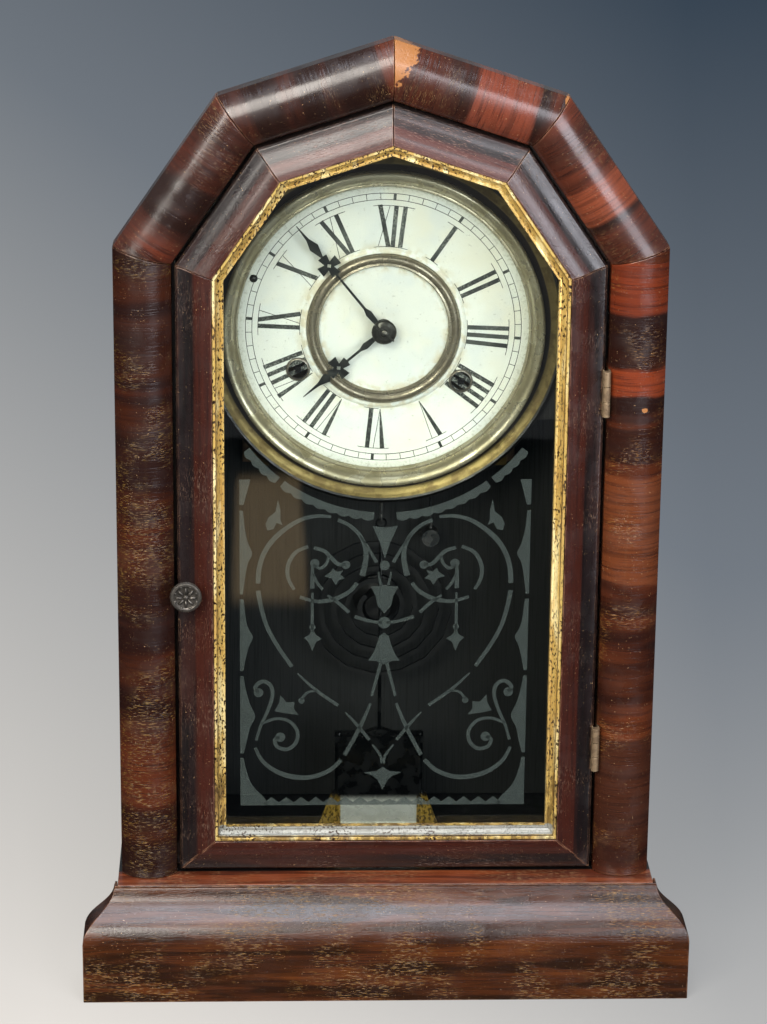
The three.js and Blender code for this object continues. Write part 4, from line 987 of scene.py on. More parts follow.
@dataclass
class CaseJoinery:
    """The veneered case: base, columns, arch mouldings, boards and back."""

    ease: float = 0.35

    def dress(self) -> None:
        """Gives every wooden piece of the case its own veneer."""
        self._base()
        self._columns()
        self._arch()
        self._boards()

    def _veneer(self, node: str, name: str, side: Side, grain: Grain, **own: Any) -> None:
        """Dresses one piece in its own run of veneer."""
        dress(node, RosewoodVeneer(f"rosewood_{name}", side, grain, **own).material(), self.ease)

    def _base(self) -> None:
        """Base moulding, its plain sides, and the floor that shows as a shelf."""
        face = {"dark": "#1f1007", "middle": "#361b0c", "light": "#4a260f", "fleck": "#94713a"}
        self._veneer(
            "base_front_moulding", "veneer_base_front", Side.FOOT, Grain.ALONG, **face,
            crazed=(0.44, 0.6), figure=(7.0, 70.0), rough=(0.14, 0.28), crackle=0.05, seed=3.0,
        )
        for side in ("left", "right"):
            self._veneer(
                f"base_{side}_side", "veneer_base_sides", Side.FOOT, Grain.ALONG, **face,
                crazed=(0.4, 0.56), figure=(60.0, 7.0), rough=(0.25, 0.42), seed=5.0,
            )
        self._veneer(
            "case_floor", "veneer_shelf", Side.FOOT, Grain.ALONG,
            dark="#481f11", middle="#6f361d", light="#884626", fleck="#c49c6c",
            crazed=(0.44, 0.58), figure=(6.0, 70.0), rough=(0.3, 0.5), inside=Inside.BEHIND_DOOR, seed=8.0,
        )

    def _columns(self) -> None:
        """Half-round columns with the grain laid across them."""
        dark = "#1e0d08"
        self._veneer(
            "left_column", "crossband_left_column", Side.LEFT, Grain.ACROSS,
            middle="#2e1409", light="#48200f", fleck="#80652c", crazed=(0.48, 0.62),
            bands=((252.0, 9.0, "#642510"), (205.0, 12.0, "#47200f"), (150.0, 7.0, dark),
                   (95.0, 9.0, "#4c200e")),
            seed=11.0,
        )
        self._veneer(
            "right_column", "crossband_right_column", Side.RIGHT, Grain.ACROSS,
            middle="#3f1c0d", light="#552811", fleck="#8a622c", crazed=(0.5, 0.64),
            bands=((322.0, 12.0, "#602611"), (294.0, 5.0, dark), (283.0, 6.0, "#6c2c13"), (255.0, 8.0, dark),
                   (215.0, 26.0, "#5a2e17"), (92.0, 26.0, "#321a10")),
            chips=((member(Side.RIGHT, 9.0, 267.4), (1.7, 9.0, 1.4)),), seed=14.0,
        )

    def _arch(self) -> None:
        """The four lengths of the arch, each with its own run of veneer."""
        shared = {"dark": "#1c0f0b", "middle": "#371a11", "fleck": "#7b6240", "rough": (0.22, 0.38)}
        worn = ((member(Side.RIGHT_UPPER, 0.0, 132.5), (24.0, 14.0, 12.5)),
                (member(Side.RIGHT_UPPER, 0.0, 54.0), (9.0, 12.0, 2.6)))
        lengths = (
            {"light": "#5a2716", "crazed": (0.5, 0.66), "seed": 21.0},
            {"light": "#522616", "crazed": (0.52, 0.66), "seed": 24.0},
            {"light": "#5f2c1a", "crazed": (0.46, 0.62), "bands": ((82.0, 14.0, "#653020"),), "chips": worn,
             "seed": 27.0},
            {"light": "#5f2c1a", "crazed": (0.44, 0.6), "bands": ((248.0, 9.0, "#6a3420"),), "seed": 31.0},
        )
        for side, own in zip(ARCH, lengths):
            name = f"crossband_{side.place}"
            self._veneer(f"arch_moulding_{side.place}", name, side, Grain.ACROSS, **shared, **own)

    def _boards(self) -> None:
        """Side and roof boards, and the pine back."""
        board = {"dark": "#241412", "middle": "#432119", "light": "#5e2c1e", "crazed": (0.5, 0.66),
                 "rough": (0.3, 0.5), "inside": Inside.TOWARDS_AXIS}
        for side in (Side.LEFT, Side.RIGHT):
            node = f"{side.place}_side_board"
            self._veneer(node, f"veneer_{node}", side, Grain.ALONG, **board, figure=(12.0, 190.0), seed=41.0)
        for side in ARCH:
            self._veneer(
                f"roof_board_{side.place}", f"veneer_roof_{side.place}", side, Grain.ALONG, **board,
                figure=(12.0, 90.0), seed=44.0 + side.value[0],
            )
        # the back board's near-black inner face and the near-black dial board are painted shade inside the case
        for node, plain in (
            ("back_board", RawBoard("pine_board_back", "#9a7449", "#7a5630", "#4c3b2b", "#060707")),
            ("movement_board", RawBoard("pine_board_seat", "#6b4c2c", "#4f371f", "#2c2118")),
            ("dial_board", RawBoard("stained_board_dial", "#0f0c0b", "#0a0908", "#120f0d")),
        ):
            dress(node, plain.material(), self.ease)


@dataclass
class DoorFrame:
    """The veneered door frame with its gilt slip."""

    ease: float = 0.3

    def dress(self) -> None:
        """Gives each rail veneer that runs along it, reddish on the inner slope, with painted light making that
        slope lighter on the upper rails.
        """
        rails = {
            "door_left_stile": Side.LEFT, "door_right_stile": Side.RIGHT, "door_bottom_rail": Side.FOOT,
            **{f"door_rail_{side.place}": side for side in ARCH},
        }
        for number, (node, side) in enumerate(rails.items()):
            upper = node.endswith("upper")
            veneer = RosewoodVeneer(
                f"rosewood_veneer_{node}", side, Grain.ALONG,
                dark="#100c0c", middle="#28140c" if side is Side.FOOT else "#191212", light="#2b1814",
                # the upper rails' lighter slope colour is painted light where the slope faces up
                fleck="#86695f" if upper else "#6a5546", slope="#47221a" if upper else "#35160e",
                figure=(6.0, 90.0),
                crazed=(0.4, 0.56) if upper else (0.5, 0.64), rough=(0.36, 0.5) if upper else (0.2, 0.34),
                crackle=0.03, seed=51.0 + 3 * number,
            )
            dress(node, veneer.material(), self.ease)
        dress("gilt_slip", WaterGilding("gilded_carved_slip").material(), 0.15)


Stroke = tuple[tuple[Point, ...], Triple]


@dataclass
class StencilledGlass:
    """The door's pane and the frosted scrollwork on its back, drawn for one half and mirrored."""

    middle: float = -1.4
    front: float = FRONT + 3.85
    back: float = FRONT + 3.95
    outer: float = 63.3
    bottom: float = 80.3
    tooth: float = 6.6  # width of a tooth of the foot
    foot_half: float = 51.0  # half width of the toothed foot
    valley: float = 81.7  # height between the teeth
    tip: float = 84.2
    low_tip: float = 83.0  # the tooth at the middle
    swag_radius: float = 76.2

    def strokes(self) -> tuple[Stroke, ...]:
        """Scrolls of the right half: points from the pattern's middle and the clock's foot, and widths."""
        return (
            (((23.5, 216), (30, 216.3), (37, 214.5), (44, 210), (49.5, 204.5), (53, 198.5), (54.8, 192),
              (55.3, 185.3)), (1.3, 2.2, 2.1)),
            (((55.3, 182), (54, 174.5), (51.5, 165.5), (47, 156.5), (40.5, 146.5)), (2, 1.8, 1.7)),
            (((20.5, 214.5), (15.5, 212), (11, 207.5), (8.7, 202), (8.3, 196.5), (9.8, 188.8)),
             (1.5, 1.8, 2.6)),
            (((12, 185.5), (15, 181.8), (19.5, 179), (24, 177.5), (30, 177), (37, 179)), (1.7, 2, 1.4)),
            (((25, 179.8), (20.5, 176.5), (15.5, 171.8)), (0.9, 1.6, 1.5)),
            (((13, 169.8), (6.5, 167.8), (1, 167)), (1.6, 1.4, 1.2)),
            (((39.5, 182.5), (41.7, 186.5), (42.5, 191), (41.5, 195.7), (38.5, 200), (33.5, 202.3)),
             (1.4, 1.8, 1.5)),
            (((31, 201.8), (26.5, 200.3), (23.5, 197.3), (20.5, 194.3), (17, 194)), (1.5, 1.8, 1.6)),
            (((24.5, 198), (25.5, 194.5), (28.3, 192.3), (31, 194)), (1.2, 1.4, 1.3)),
            (((31.5, 193), (31.6, 188), (31.6, 183)), (1.2, 1.8, 2)),
            (((31.3, 190), (29.5, 185.7), (27, 182.5)), (0.8, 1.3, 1.2)),
            (((31.5, 181), (31.6, 173), (31.6, 162.5)), (1, 1.3, 1.4)),
            (((38, 143.3), (30, 135.5), (20, 128)), (0.6, 1.5, 1.4)),
            (((29.5, 135), (33.5, 134.3), (36.3, 131)), (0.9, 1.1, 1.3)),
            (((16.8, 124.8), (11.5, 118.7), (6, 111.5)), (0.6, 1.5, 1.4)),
            (((1.2, 148.5), (3.2, 140.5), (5.2, 132.5)), (1.6, 1.4, 1.2)),
            (((5.7, 129), (8.7, 121.3), (12.5, 113), (17, 104.3)), (1.2, 1.8, 1.8)),
            (((18.5, 102), (24, 96.8), (32, 93.8), (40, 94), (47.5, 96.7), (53.5, 101.7), (56.7, 108)),
             (1.8, 2.3, 1.4)),
            (((56.2, 111.5), (54.2, 118.5), (51, 126), (49, 133), (50, 137.8), (53.5, 139.5), (56.5, 137),
              (55.3, 134.3)), (1.2, 1.7, 1.8)),
            (((54, 119.5), (47.5, 121.8), (41.5, 120.5), (38, 115.7), (38.6, 110.5), (42.2, 107.3),
             (46.7, 108.3),
              (48, 111.7), (45.8, 113)), (1.2, 1.7, 1.6)),
            (((4.7, 109.3), (1.2, 104.3), (0.4, 100.3)), (0.9, 1.2, 1.2)),
            (((3.7, 195), (7.5, 202), (11, 207.5)), (1.6, 1.1, 0.6)),
            (((2.7, 190.7), (2.5, 188.5), (1.6, 184.5)), (0.7, 0.9, 1.2)),
        )

    def build(self) -> None:
        """Makes the pane's finish and the pattern."""
        paint("door_glass", WindowGlass("drawn_window_glass", "#f7faf8").material())
        work = Workpiece()
        for points, widths in self.strokes():
            work.ribbon(smooth_path([self._at(p) for p in points]), widths, self.front, self.back)
        knots = (
            ((17, 193.9), 1.9), ((30.6, 194.6), 2), ((36.2, 130.4), 1.4), ((55.2, 134.2), 2.1),
            ((45.6, 113), 2.2), ((31.5, 165), 1.4),
        )
        for centre, radius in knots:
            work.disc(self._at(centre), radius, self.front, self.back, 20)
        for leaf in self._leaves():
            work.sheet([self._at(p) for p in leaf], self.front, self.back)
        self._border(work)
        work.mirrored(self.middle)
        for height, radius in ((193.6, 2.2), (167.0, 2.7)):
            work.disc((self.middle, height), radius, self.front, self.back)
        for shape in self._centres():
            outline = [*shape, *[(-x, z) for x, z in reversed(shape) if x]]
            work.sheet([self._at(p) for p in outline], self.front, self.back)
        work.done("glass_frosted_scrollwork", Frosting("sprayed_stencil_enamel").material(), "door")

    def _at(self, point: Point) -> Point:
        """Moves a point of the pattern to the pane."""
        return (self.middle + point[0], point[1])

    def _leaves(self) -> tuple[tuple[Point, ...], ...]:
        """Leaves and stars of the right half."""
        return (
            ((31.5, 163.8), (33, 161.3), (35.3, 160), (33.2, 158), (31.5, 153.8), (29.8, 158), (27.3, 159.5),
             (30, 161.3)),
            ((22.7, 192.4), (23.6, 190.6), (26.4, 188.6), (23.2, 187.6), (21.3, 184.6), (20, 186.8),
             (17.4, 187.6),
             (19.4, 189.4), (18.2, 191.3), (21, 190.7)),
            ((45.6, 133), (46, 129.5), (48, 125.5), (44, 124.5), (37.5, 123.6), (39.6, 126.5), (39.3, 129.7),
             (42.8, 129.6)),
            ((46.6, 224), (45.5, 219), (45.5, 214.5), (44.6, 212.2), (47.2, 213.2), (48.6, 210.3),
             (51.2, 209.8),
             (52, 212.6), (50.8, 215.6), (47.6, 218.4)),
        )

    def _centres(self) -> tuple[tuple[Point, ...], ...]:
        """Right halves of the tulip, the bell flower, the foot star and the fan, from top to bottom."""
        return (
            ((0, 184.6), (2, 184), (6, 183.8), (3.9, 179.5), (3, 175), (0, 171.3)),
            ((0, 162.2), (2, 160.8), (3.4, 156), (4.8, 152.5), (7, 149.2), (3.5, 149), (0, 147.3)),
            ((0, 98.6), (3, 96.6), (8.4, 96), (4.3, 94.2), (2.3, 92.4), (0, 87.6)),
            ((0, 211), (5.5, 211.8), (2.4, 204.5), (0, 196.8)),
        )

    def _border(self, work: Workpiece) -> None:
        """Side strips that swell inwards between breaks, a toothed foot, and swags that follow the dial.

        Args:
            work: The mesh that gets it.
        """
        strips = (
            ((58.5, 233), (60.3, 226), (61.5, 221.5)),
            ((61.8, 218.8), (61, 210.5), (59.6, 204), (57.8, 199), (59.6, 195), (60.8, 189), (61.9, 180.3)),
            ((61.6, 178), (60.6, 168.5), (59.4, 164), (57.6, 160.3), (59.3, 156), (60.6, 151), (61.8, 144.5)),
            ((61.8, 142), (60.6, 135), (59, 129), (56.7, 123), (59, 117.5), (60.2, 112), (61.8, 105.3)),
            ((61.8, 103.2), (60.6, 97), (58, 90), (52.5, 83.6), (51, self.bottom)),
        )
        for inner in strips:
            path = smooth_path(inner, 4)
            outline = [*path, (self.outer, inner[-1][1]), (self.outer, inner[0][1])]
            work.sheet([self._at(p) for p in outline], self.front, self.back)
        teeth = round(self.foot_half / self.tooth)
        edge: list[Point] = []
        for k in range(teeth):
            tip = self.tip if k else self.low_tip
            edge += [(k * self.tooth, self.valley), ((k + 0.5) * self.tooth, tip)]
        edge += [(teeth * self.tooth, z) for z in (self.valley, self.bottom)] + [(0.0, self.bottom)]
        work.sheet([self._at(p) for p in edge], self.front, self.back)
        self._swags(work)

    def _swags(self, work: Workpiece) -> None:
        """Scalloped swags on a circle about the dial's arbor.

        Args:
            work: The mesh that gets it.
        """
        steps = 6  # points on each scallop
        for first, last, scallops in ((37.0, 51.5, 4), (53.5, 86.0, 8)):
            outer, inner = [], []
            for k in range(scallops * steps + 1):
                angle = math.radians(-(first + (last - first) / scallops * k / steps))
                lobe = 0.9 * abs(math.sin(math.pi * k / steps))
                for side, reach in ((outer, self.swag_radius + 1.08 + lobe), (inner, self.swag_radius - 2.0)):
                    x = ARBOR[0] - self.middle + reach * math.cos(angle)
                    side.append((x, ARBOR[1] + reach * math.sin(angle)))
            work.sheet([self._at(p) for p in [*outer, *reversed(inner)]], self.front, self.back)


@dataclass
class DialFace:
    """The painted dial: plate, rings, numerals and minute track."""

    numeral_in: float = 36.6
    numeral_out: float = 54.8
    track_in: float = 57.4
    track_out: float = 60.2
    line: float = 0.28
    stem: float = 1.95
    five: float = 1.3  # width of every fifth minute mark
    paint_thick: float = 0.05
    fan: Point = (0.9, 1.1)  # width of a numeral at its feet and its head, as a share of its middle
    serifs: Point = (1.6, 2.2)  # how far the hairlines stand past a numeral's feet and head
    nail: Point = (ARBOR[0] - 56.6, ARBOR[1] + 22.3)

    def build(self) -> None:
        """Dresses the plate and its metal, and paints the face."""
        white = DialPaint("painted_zinc_dial").material()
        dress("dial_plate", white, 0.0, 50.0)
        self._metalwork()
        step = ((33.8, 0.0), (33.8, 0.9), (34.6, 1.0), (35.5, 0.7), (36.2, 0.0))
        self._turn("dial_raised_step", white, step, gap=0.0, sharp=60.0)
        self._numerals(DialInk("dial_black").material())
        self._track(DialInk("dial_black_fine", 0.2).material())
        blued = AgedMetal("blued_nail", "#23241f", "#141411", "#4a4a44", 0.6).material()
        head = ((0.01, 1.1), (1.1, 0.9), (1.7, 0.35), (1.8, 0.0), (0.01, 0.0))
        self._turn("dial_nail", blued, head, gap=0.0, centre=self.nail, steps=20, sharp=35.0)

    def _metalwork(self) -> None:
        """Bezel with a bead inside a broad round, centre ring with a fillet inside a cove, and grommets."""
        brass = AgedMetal("dulled_brass_bezel", "#b8b096", "#8f8566", "#e6e0c6", 0.6, (0.22, 0.36), 9.0)
        bezel = (
            (63.5, 0.0), (63.6, 2.2), (64.0, 3.0), (64.6, 3.1), (65.0, 2.9), (65.6, 4.2), (66.5, 5.5),
            (67.6, 6.4), (68.7, 6.9), (69.6, 7.0), (70.2, 6.5), (70.4, 5.6), (70.4, 0.0),
        )
        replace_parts(self._turn("dial_bezel_rolled", brass.material(), bezel, steps=120), "dial_bezel")
        dull = AgedMetal("dulled_brass_centre_ring", "#958c78", "#6f6654", "#cfc8b2", 0.65, (0.24, 0.4), 7.0)
        ring = (
            (28.2, 0.0), (28.3, 1.5), (28.9, 2.2), (29.6, 2.0), (30.2, 2.5), (31.0, 3.0), (32.0, 2.9),
            (33.0, 2.1), (33.5, 1.1), (33.6, 0.0),
        )
        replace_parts(self._turn("dial_centre_ring_rolled", dull.material(), ring), "dial_centre_ring")
        socket = AgedMetal("steel_grommet", "#8b8579", "#5a5348", "#c0b9a8", 0.8, (0.3, 0.5), 3.0)
        rim = (
            (4.15, -0.5), (4.15, 0.7), (4.5, 1.1), (5.0, 1.0), (5.3, 0.5), (5.3, 0.02), (4.5, 0.02),
            (4.5, -0.5),
        )
        for side, (x, up) in {"left": (-39.06, -18.5), "right": (32.28, -23.86)}.items():
            node, centre = f"winding_grommet_{side}", (x, ARBOR[1] + up)
            rolled = self._turn(f"{node}_rolled", socket.material(), rim, gap=0.0, centre=centre, steps=48)
            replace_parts(rolled, node)

    def _turn(
        self, name: str, material: Material, profile: Sequence[Point], gap: float = 0.2,
        centre: Point = ARBOR, steps: int = 96, sharp: float = 50.0,
    ) -> Piece:
        """Makes a turned piece that stands on the dial.

        Args:
            name: Its name.
            material: Its finish.
            profile: Its radius and height, in millimetres.
            gap: How far in front of the dial the height starts.
            centre: Its axis.
            steps: Points round it.
            sharp: Edges that turn by more than this many degrees stay sharp.

        Returns:
            The piece.
        """
        work = Workpiece()
        work.turned([(radius, DIAL_FACE - gap - height) for radius, height in profile], centre, steps)
        return work.done(name, material, "case", sharp)

    def _turned(self, reach: float, turn: float, across: float = 0.0) -> Point:
        """A place above the arbor and to its side, turned clockwise, in the clock's own millimetres."""
        c, s = math.cos(turn), math.sin(turn)
        return (ARBOR[0] + across * c + reach * s, ARBOR[1] + reach * c - across * s)

    def _numerals(self, ink: Material) -> None:
        """Twelve Roman numerals, their feet towards the middle, each on its own hour line.

        Args:
            ink: Their finish.
        """
        names = ("XII", "I", "II", "III", "IIII", "V", "VI", "VII", "VIII", "IX", "X", "XI")
        advance = {"I": 3.6, "V": 5.0, "X": 5.4}
        work = Workpiece()
        for hour, name in enumerate(names):
            width = sum(advance[letter] for letter in name)
            at = -width / 2
            turn = DIAL_TURN + math.tau * hour / 12
            for letter in name:
                self._letter(work, letter, at + advance[letter] / 2, advance[letter], turn)
                at += advance[letter]
            head = width * self.fan[1] / 2 + self.serifs[1]
            self._hairline(work, self.numeral_out, (-head, head), turn)
            if name != "V":  # a lone V ends in a point
                left = -width / 2 + (advance["V"] if name[0] == "V" else 0.0)
                feet = (left * 0.92 - self.serifs[0], width / 2 * 0.92 + self.serifs[0])
                self._hairline(work, self.numeral_in, feet, turn)
        work.done("dial_numerals", ink, "case")

    def _stroke(self, work: Workpiece, foot: float, head: float, widths: Triple, turn: float) -> None:
        """One stroke from the inner line to the outer one, at sideways places on a numeral.

        Args:
            work: The mesh that gets it.
            foot: Sideways place at the inner line.
            head: The same at the outer line.
            widths: The stroke's three widths.
            turn: Turn of the numeral from twelve, clockwise.
        """
        ends = [self._turned(self.numeral_in, turn, foot), self._turned(self.numeral_out, turn, head)]
        middle = ((ends[0][0] + ends[1][0]) / 2, (ends[0][1] + ends[1][1]) / 2)
        work.ribbon([ends[0], middle, ends[1]], widths, DIAL_FACE - self.paint_thick, DIAL_FACE)

    def _letter(self, work: Workpiece, letter: str, at: float, wide: float, turn: float) -> None:
        """One letter of a numeral.

        Args:
            work: The mesh that gets it.
            letter: I, V or X.
            at: Sideways place of its middle.
            wide: Its width.
            turn: Turn of the numeral from twelve, clockwise.
        """
        near, far = (at * share for share in self.fan)
        full: Triple = (self.stem, self.stem, self.stem)
        thin: Triple = (self.line, self.line, self.line)
        half = wide * 0.4
        if letter == "I":
            self._stroke(work, near, far, full, turn)
        elif letter == "V":
            self._stroke(work, near, far - half, (0.2, self.stem * 0.75, self.stem * 1.05), turn)
            self._stroke(work, near, far + half, thin, turn)
        else:
            self._stroke(work, near + half, far - half, full, turn)
            self._stroke(work, near - half, far + half, thin, turn)

    def _hairline(self, work: Workpiece, reach: float, ends: Point, turn: float) -> None:
        """A hairline on a circle, across the feet or the head of a numeral.

        Args:
            work: The mesh that gets it.
            reach: Radius of the circle.
            ends: Sideways places of its ends.
            turn: Turn of the numeral from twelve, clockwise.
        """
        steps = 8
        angles = [turn + (ends[0] + (ends[1] - ends[0]) * k / steps) / reach for k in range(steps + 1)]
        path = [self._turned(reach, angle) for angle in angles]
        work.ribbon(path, (self.line, self.line, self.line), DIAL_FACE - self.paint_thick, DIAL_FACE)

    def _track(self, ink: Material) -> None:
        """Two circles with sixty marks between them, every fifth one broad.

        Args:
            ink: Their finish.
        """
        work = Workpiece()
        for reach in (self.track_in, self.track_out):
            low, high = reach - self.line / 2, reach + self.line / 2
            face, top = DIAL_FACE, DIAL_FACE - self.paint_thick
            work.turned(((low, face), (low, top), (high, top), (high, face)), ARBOR, 120)
        work.done("dial_minute_circles", ink, "case")
        middle = (ARBOR[0], DIAL_FACE - self.paint_thick / 2, ARBOR[1])
        radius, length = (self.track_in + self.track_out) / 2, self.track_out - self.track_in
        turn = math.pi / 2 - DIAL_TURN
        for name, count, width, thick in (
            ("dial_minute_marks", 60, self.line, self.paint_thick),
            ("dial_five_minute_marks", 12, self.five, self.paint_thick * 1.2),
        ):
            RoundOfMarks(count, radius, length, width, thick, turn).object(name, ink, middle, "case")


@dataclass
class Hardware:
    """Hands, knob, latch and hinges."""

    knob: Point = (-87.8, 185.4)
    knob_face: float = FRONT - 15.0
    petals: int = 8

    def build(self) -> None:
        """Dresses the fittings on the front."""
        black = AgedMetal("blacked_steel_hands", "#1d201e", "#2c2e29", "#565850", 0.35, (0.3, 0.5), 4.0)
        for node in ("minute_hand", "hour_hand"):
            dress(node, black.material(), 0.08)
        washer = AgedMetal("worn_steel_washer", "#4b4a44", "#25241f", "#8c8a80", 0.8, (0.3, 0.5), 2.0)
        dress("hand_washer", washer.material(), 0.12)
        arbor = AgedMetal("turned_steel_arbor", "#6a675f", "#33302a", "#a3a096")
        dress("centre_arbor", arbor.material(), 0.05)
        tan = AgedMetal("tarnished_rolled_brass", "#9a8468", "#5b4a38", "#cdb794", 0.7, (0.38, 0.58), 3.0)
        leaf = tan.material()
        hinges = [f"{height}_hinge_{part}_leaf" for part in ("case", "door") for height in ("upper", "lower")]
        for node in (*hinges, "latch_tongue"):
            dress(node, leaf, 0.1)
        self._knob()

    def _knob(self) -> None:
        """Cast knob: a smooth rim round an embossed flower of rounded petals."""
        pewter = AgedMetal("cast_pewter_knob", "#55514b", "#2c2a27", "#8f8a82", 0.75, (0.32, 0.5), 3.0, 0.8)
        material = pewter.material()
        dress("door_knob", material, 0.15, 40.0)
        work = Workpiece()
        for k in range(self.petals):
            angle = math.tau * k / self.petals
            self._bead(work, 2.9, angle, (1.75, 0.75, 1.0), 0.55)
            self._bead(work, 5.0, angle + math.pi / self.petals, (0.6, 0.6, 0.5), 0.5)
        self._bead(work, 0.0, 0.0, (1.25, 1.25, 0.9), 0.6)
        work.done("knob_embossed_flower", material, "latch", 60.0)

    def _bead(self, work: Workpiece, reach: float, angle: float, size: Triple, sink: float) -> None:
        """A rounded swelling on the knob's face, with its length pointing outwards.

        Args:
            work: The mesh that gets it.
            reach: Distance from the knob's middle.
            angle: Direction from there.
            size: Its half widths.
            sink: How far its middle lies behind the face.
        """
        ball = bmesh.ops.create_uvsphere(work.mesh, u_segments=14, v_segments=8, radius=1.0)["verts"]
        spot = Matrix.Rotation(angle, 4, "Z") @ Matrix.Translation((reach, 0.0, 0.0))
        turn = spot @ Matrix.Diagonal((*size, 1.0))
        place = Matrix.Translation((self.knob[0], self.knob_face + sink, self.knob[1]))
        bmesh.ops.transform(work.mesh, matrix=place @ Matrix.Rotation(math.pi / 2, 4, "X") @ turn, verts=ball)


@dataclass
class Movement:
    """Plates, wheels, pendulum, gong and hammer behind the dial."""

    bob_middle: Point = (-1.8, 78.5)
    bob_half: float = 17.4

    def build(self) -> None:
        """Gives every inner piece the finish of its metal; the plates, wheels, gong and bob are darkened with
        painted shade.
        """
        # tarnished brass, darkened further as painted shade inside the case
        brass = AgedMetal("movement_plate_brass", "#57461f", "#2c2210", "#8a7340", 0.8, (0.35, 0.55), 14.0)
        plates = brass.material()
        for node in (
            "movement_front_plate", "movement_back_plate", "centre_wheel", "third_wheel", "escape_wheel",
            "minute_wheel", "hour_wheel", "time_great_wheel", "strike_great_wheel",
        ):
            paint(node, plates)
        steel = AgedMetal("drawn_steel", "#8c8d8c", "#4f4a44", "#c6c8c8", 1.0, (0.25, 0.45), 10.0).material()
        for node in ("verge", "strike_hammer", "suspension_rod"):
            dress(node, steel)
        oiled = AgedMetal("oiled_steel_arbor", "#171716", "#0c0b0a", "#3c3c39", 0.8, (0.35, 0.55), 5.0)
        arbors = oiled.material()
        for node in ("time_winding_arbor", "strike_winding_arbor"):
            dress(node, arbors)
        # near-black: the wire's bluing and painted shade inside the case
        blued = AgedMetal("blued_gong_wire", "#060607", "#050505", "#0b0b0d", 0.2, (0.45, 0.65), 10.0)
        dress("gong_coil", blued.material())
        iron = AgedMetal("japanned_iron", "#0d0c0c", "#141110", "#24221f", 0.4, (0.4, 0.6), 6.0)
        dress("gong_stand", iron.material(), 0.2)
        dress("pendulum", self._bob_finish(), 0.2)

    def _bob_finish(self) -> Material:
        """Silvered block between brass brackets, near-black above its foot as painted shade.

        Returns:
            The material.
        """
        surface = Surface("silvered_and_brass_bob")
        block = surface.band("X", self.bob_middle[0], self.bob_half, 0.3)
        stain = surface.speckle(6.0, 0.42, 0.64, 1.0, 4.0)
        pierced = surface.speckle((1.3, 1.3, 2.0), 0.5, 0.56, 2.0, 2.0)
        colour = surface.layers(
            "#b08f3f",
            (pierced, "#2c220f", 0.8),
            (block, "#e2e3da"),
            (surface.times(stain, block), "#b0b1a8", 0.5),
            # near-black above the foot: painted shade
            (surface.ramp(surface.axis("Z"), 0.066, 0.071), "#060606"),
        )
        return surface.finish(colour, stain, (0.22, 0.42), [(stain, 0.02)], Metallic=0.4)


@dataclass(frozen=True)
class Softbox:
    """A square soft lamp turned to a point above the middle of the clock's foot. Sizes in metres."""

    name: str
    place: Triple
    aim: float  # height of the point
    size: float
    watts: float
    colour: str

    def hang(self) -> None:
        """Puts the lamp in the scene."""
        lamp = bpy.data.lights.new(self.name, "AREA")
        lamp.shape = "SQUARE"
        lamp.size = self.size
        lamp.energy = self.watts
        lamp.color = linear(self.colour)[:3]
        holder = placed(self.name, lamp)
        holder.location = self.place
        way = Vector((0.0, 0.0, self.aim)) - Vector(self.place)
        holder.rotation_euler = way.to_track_quat("-Z", "Y").to_euler()


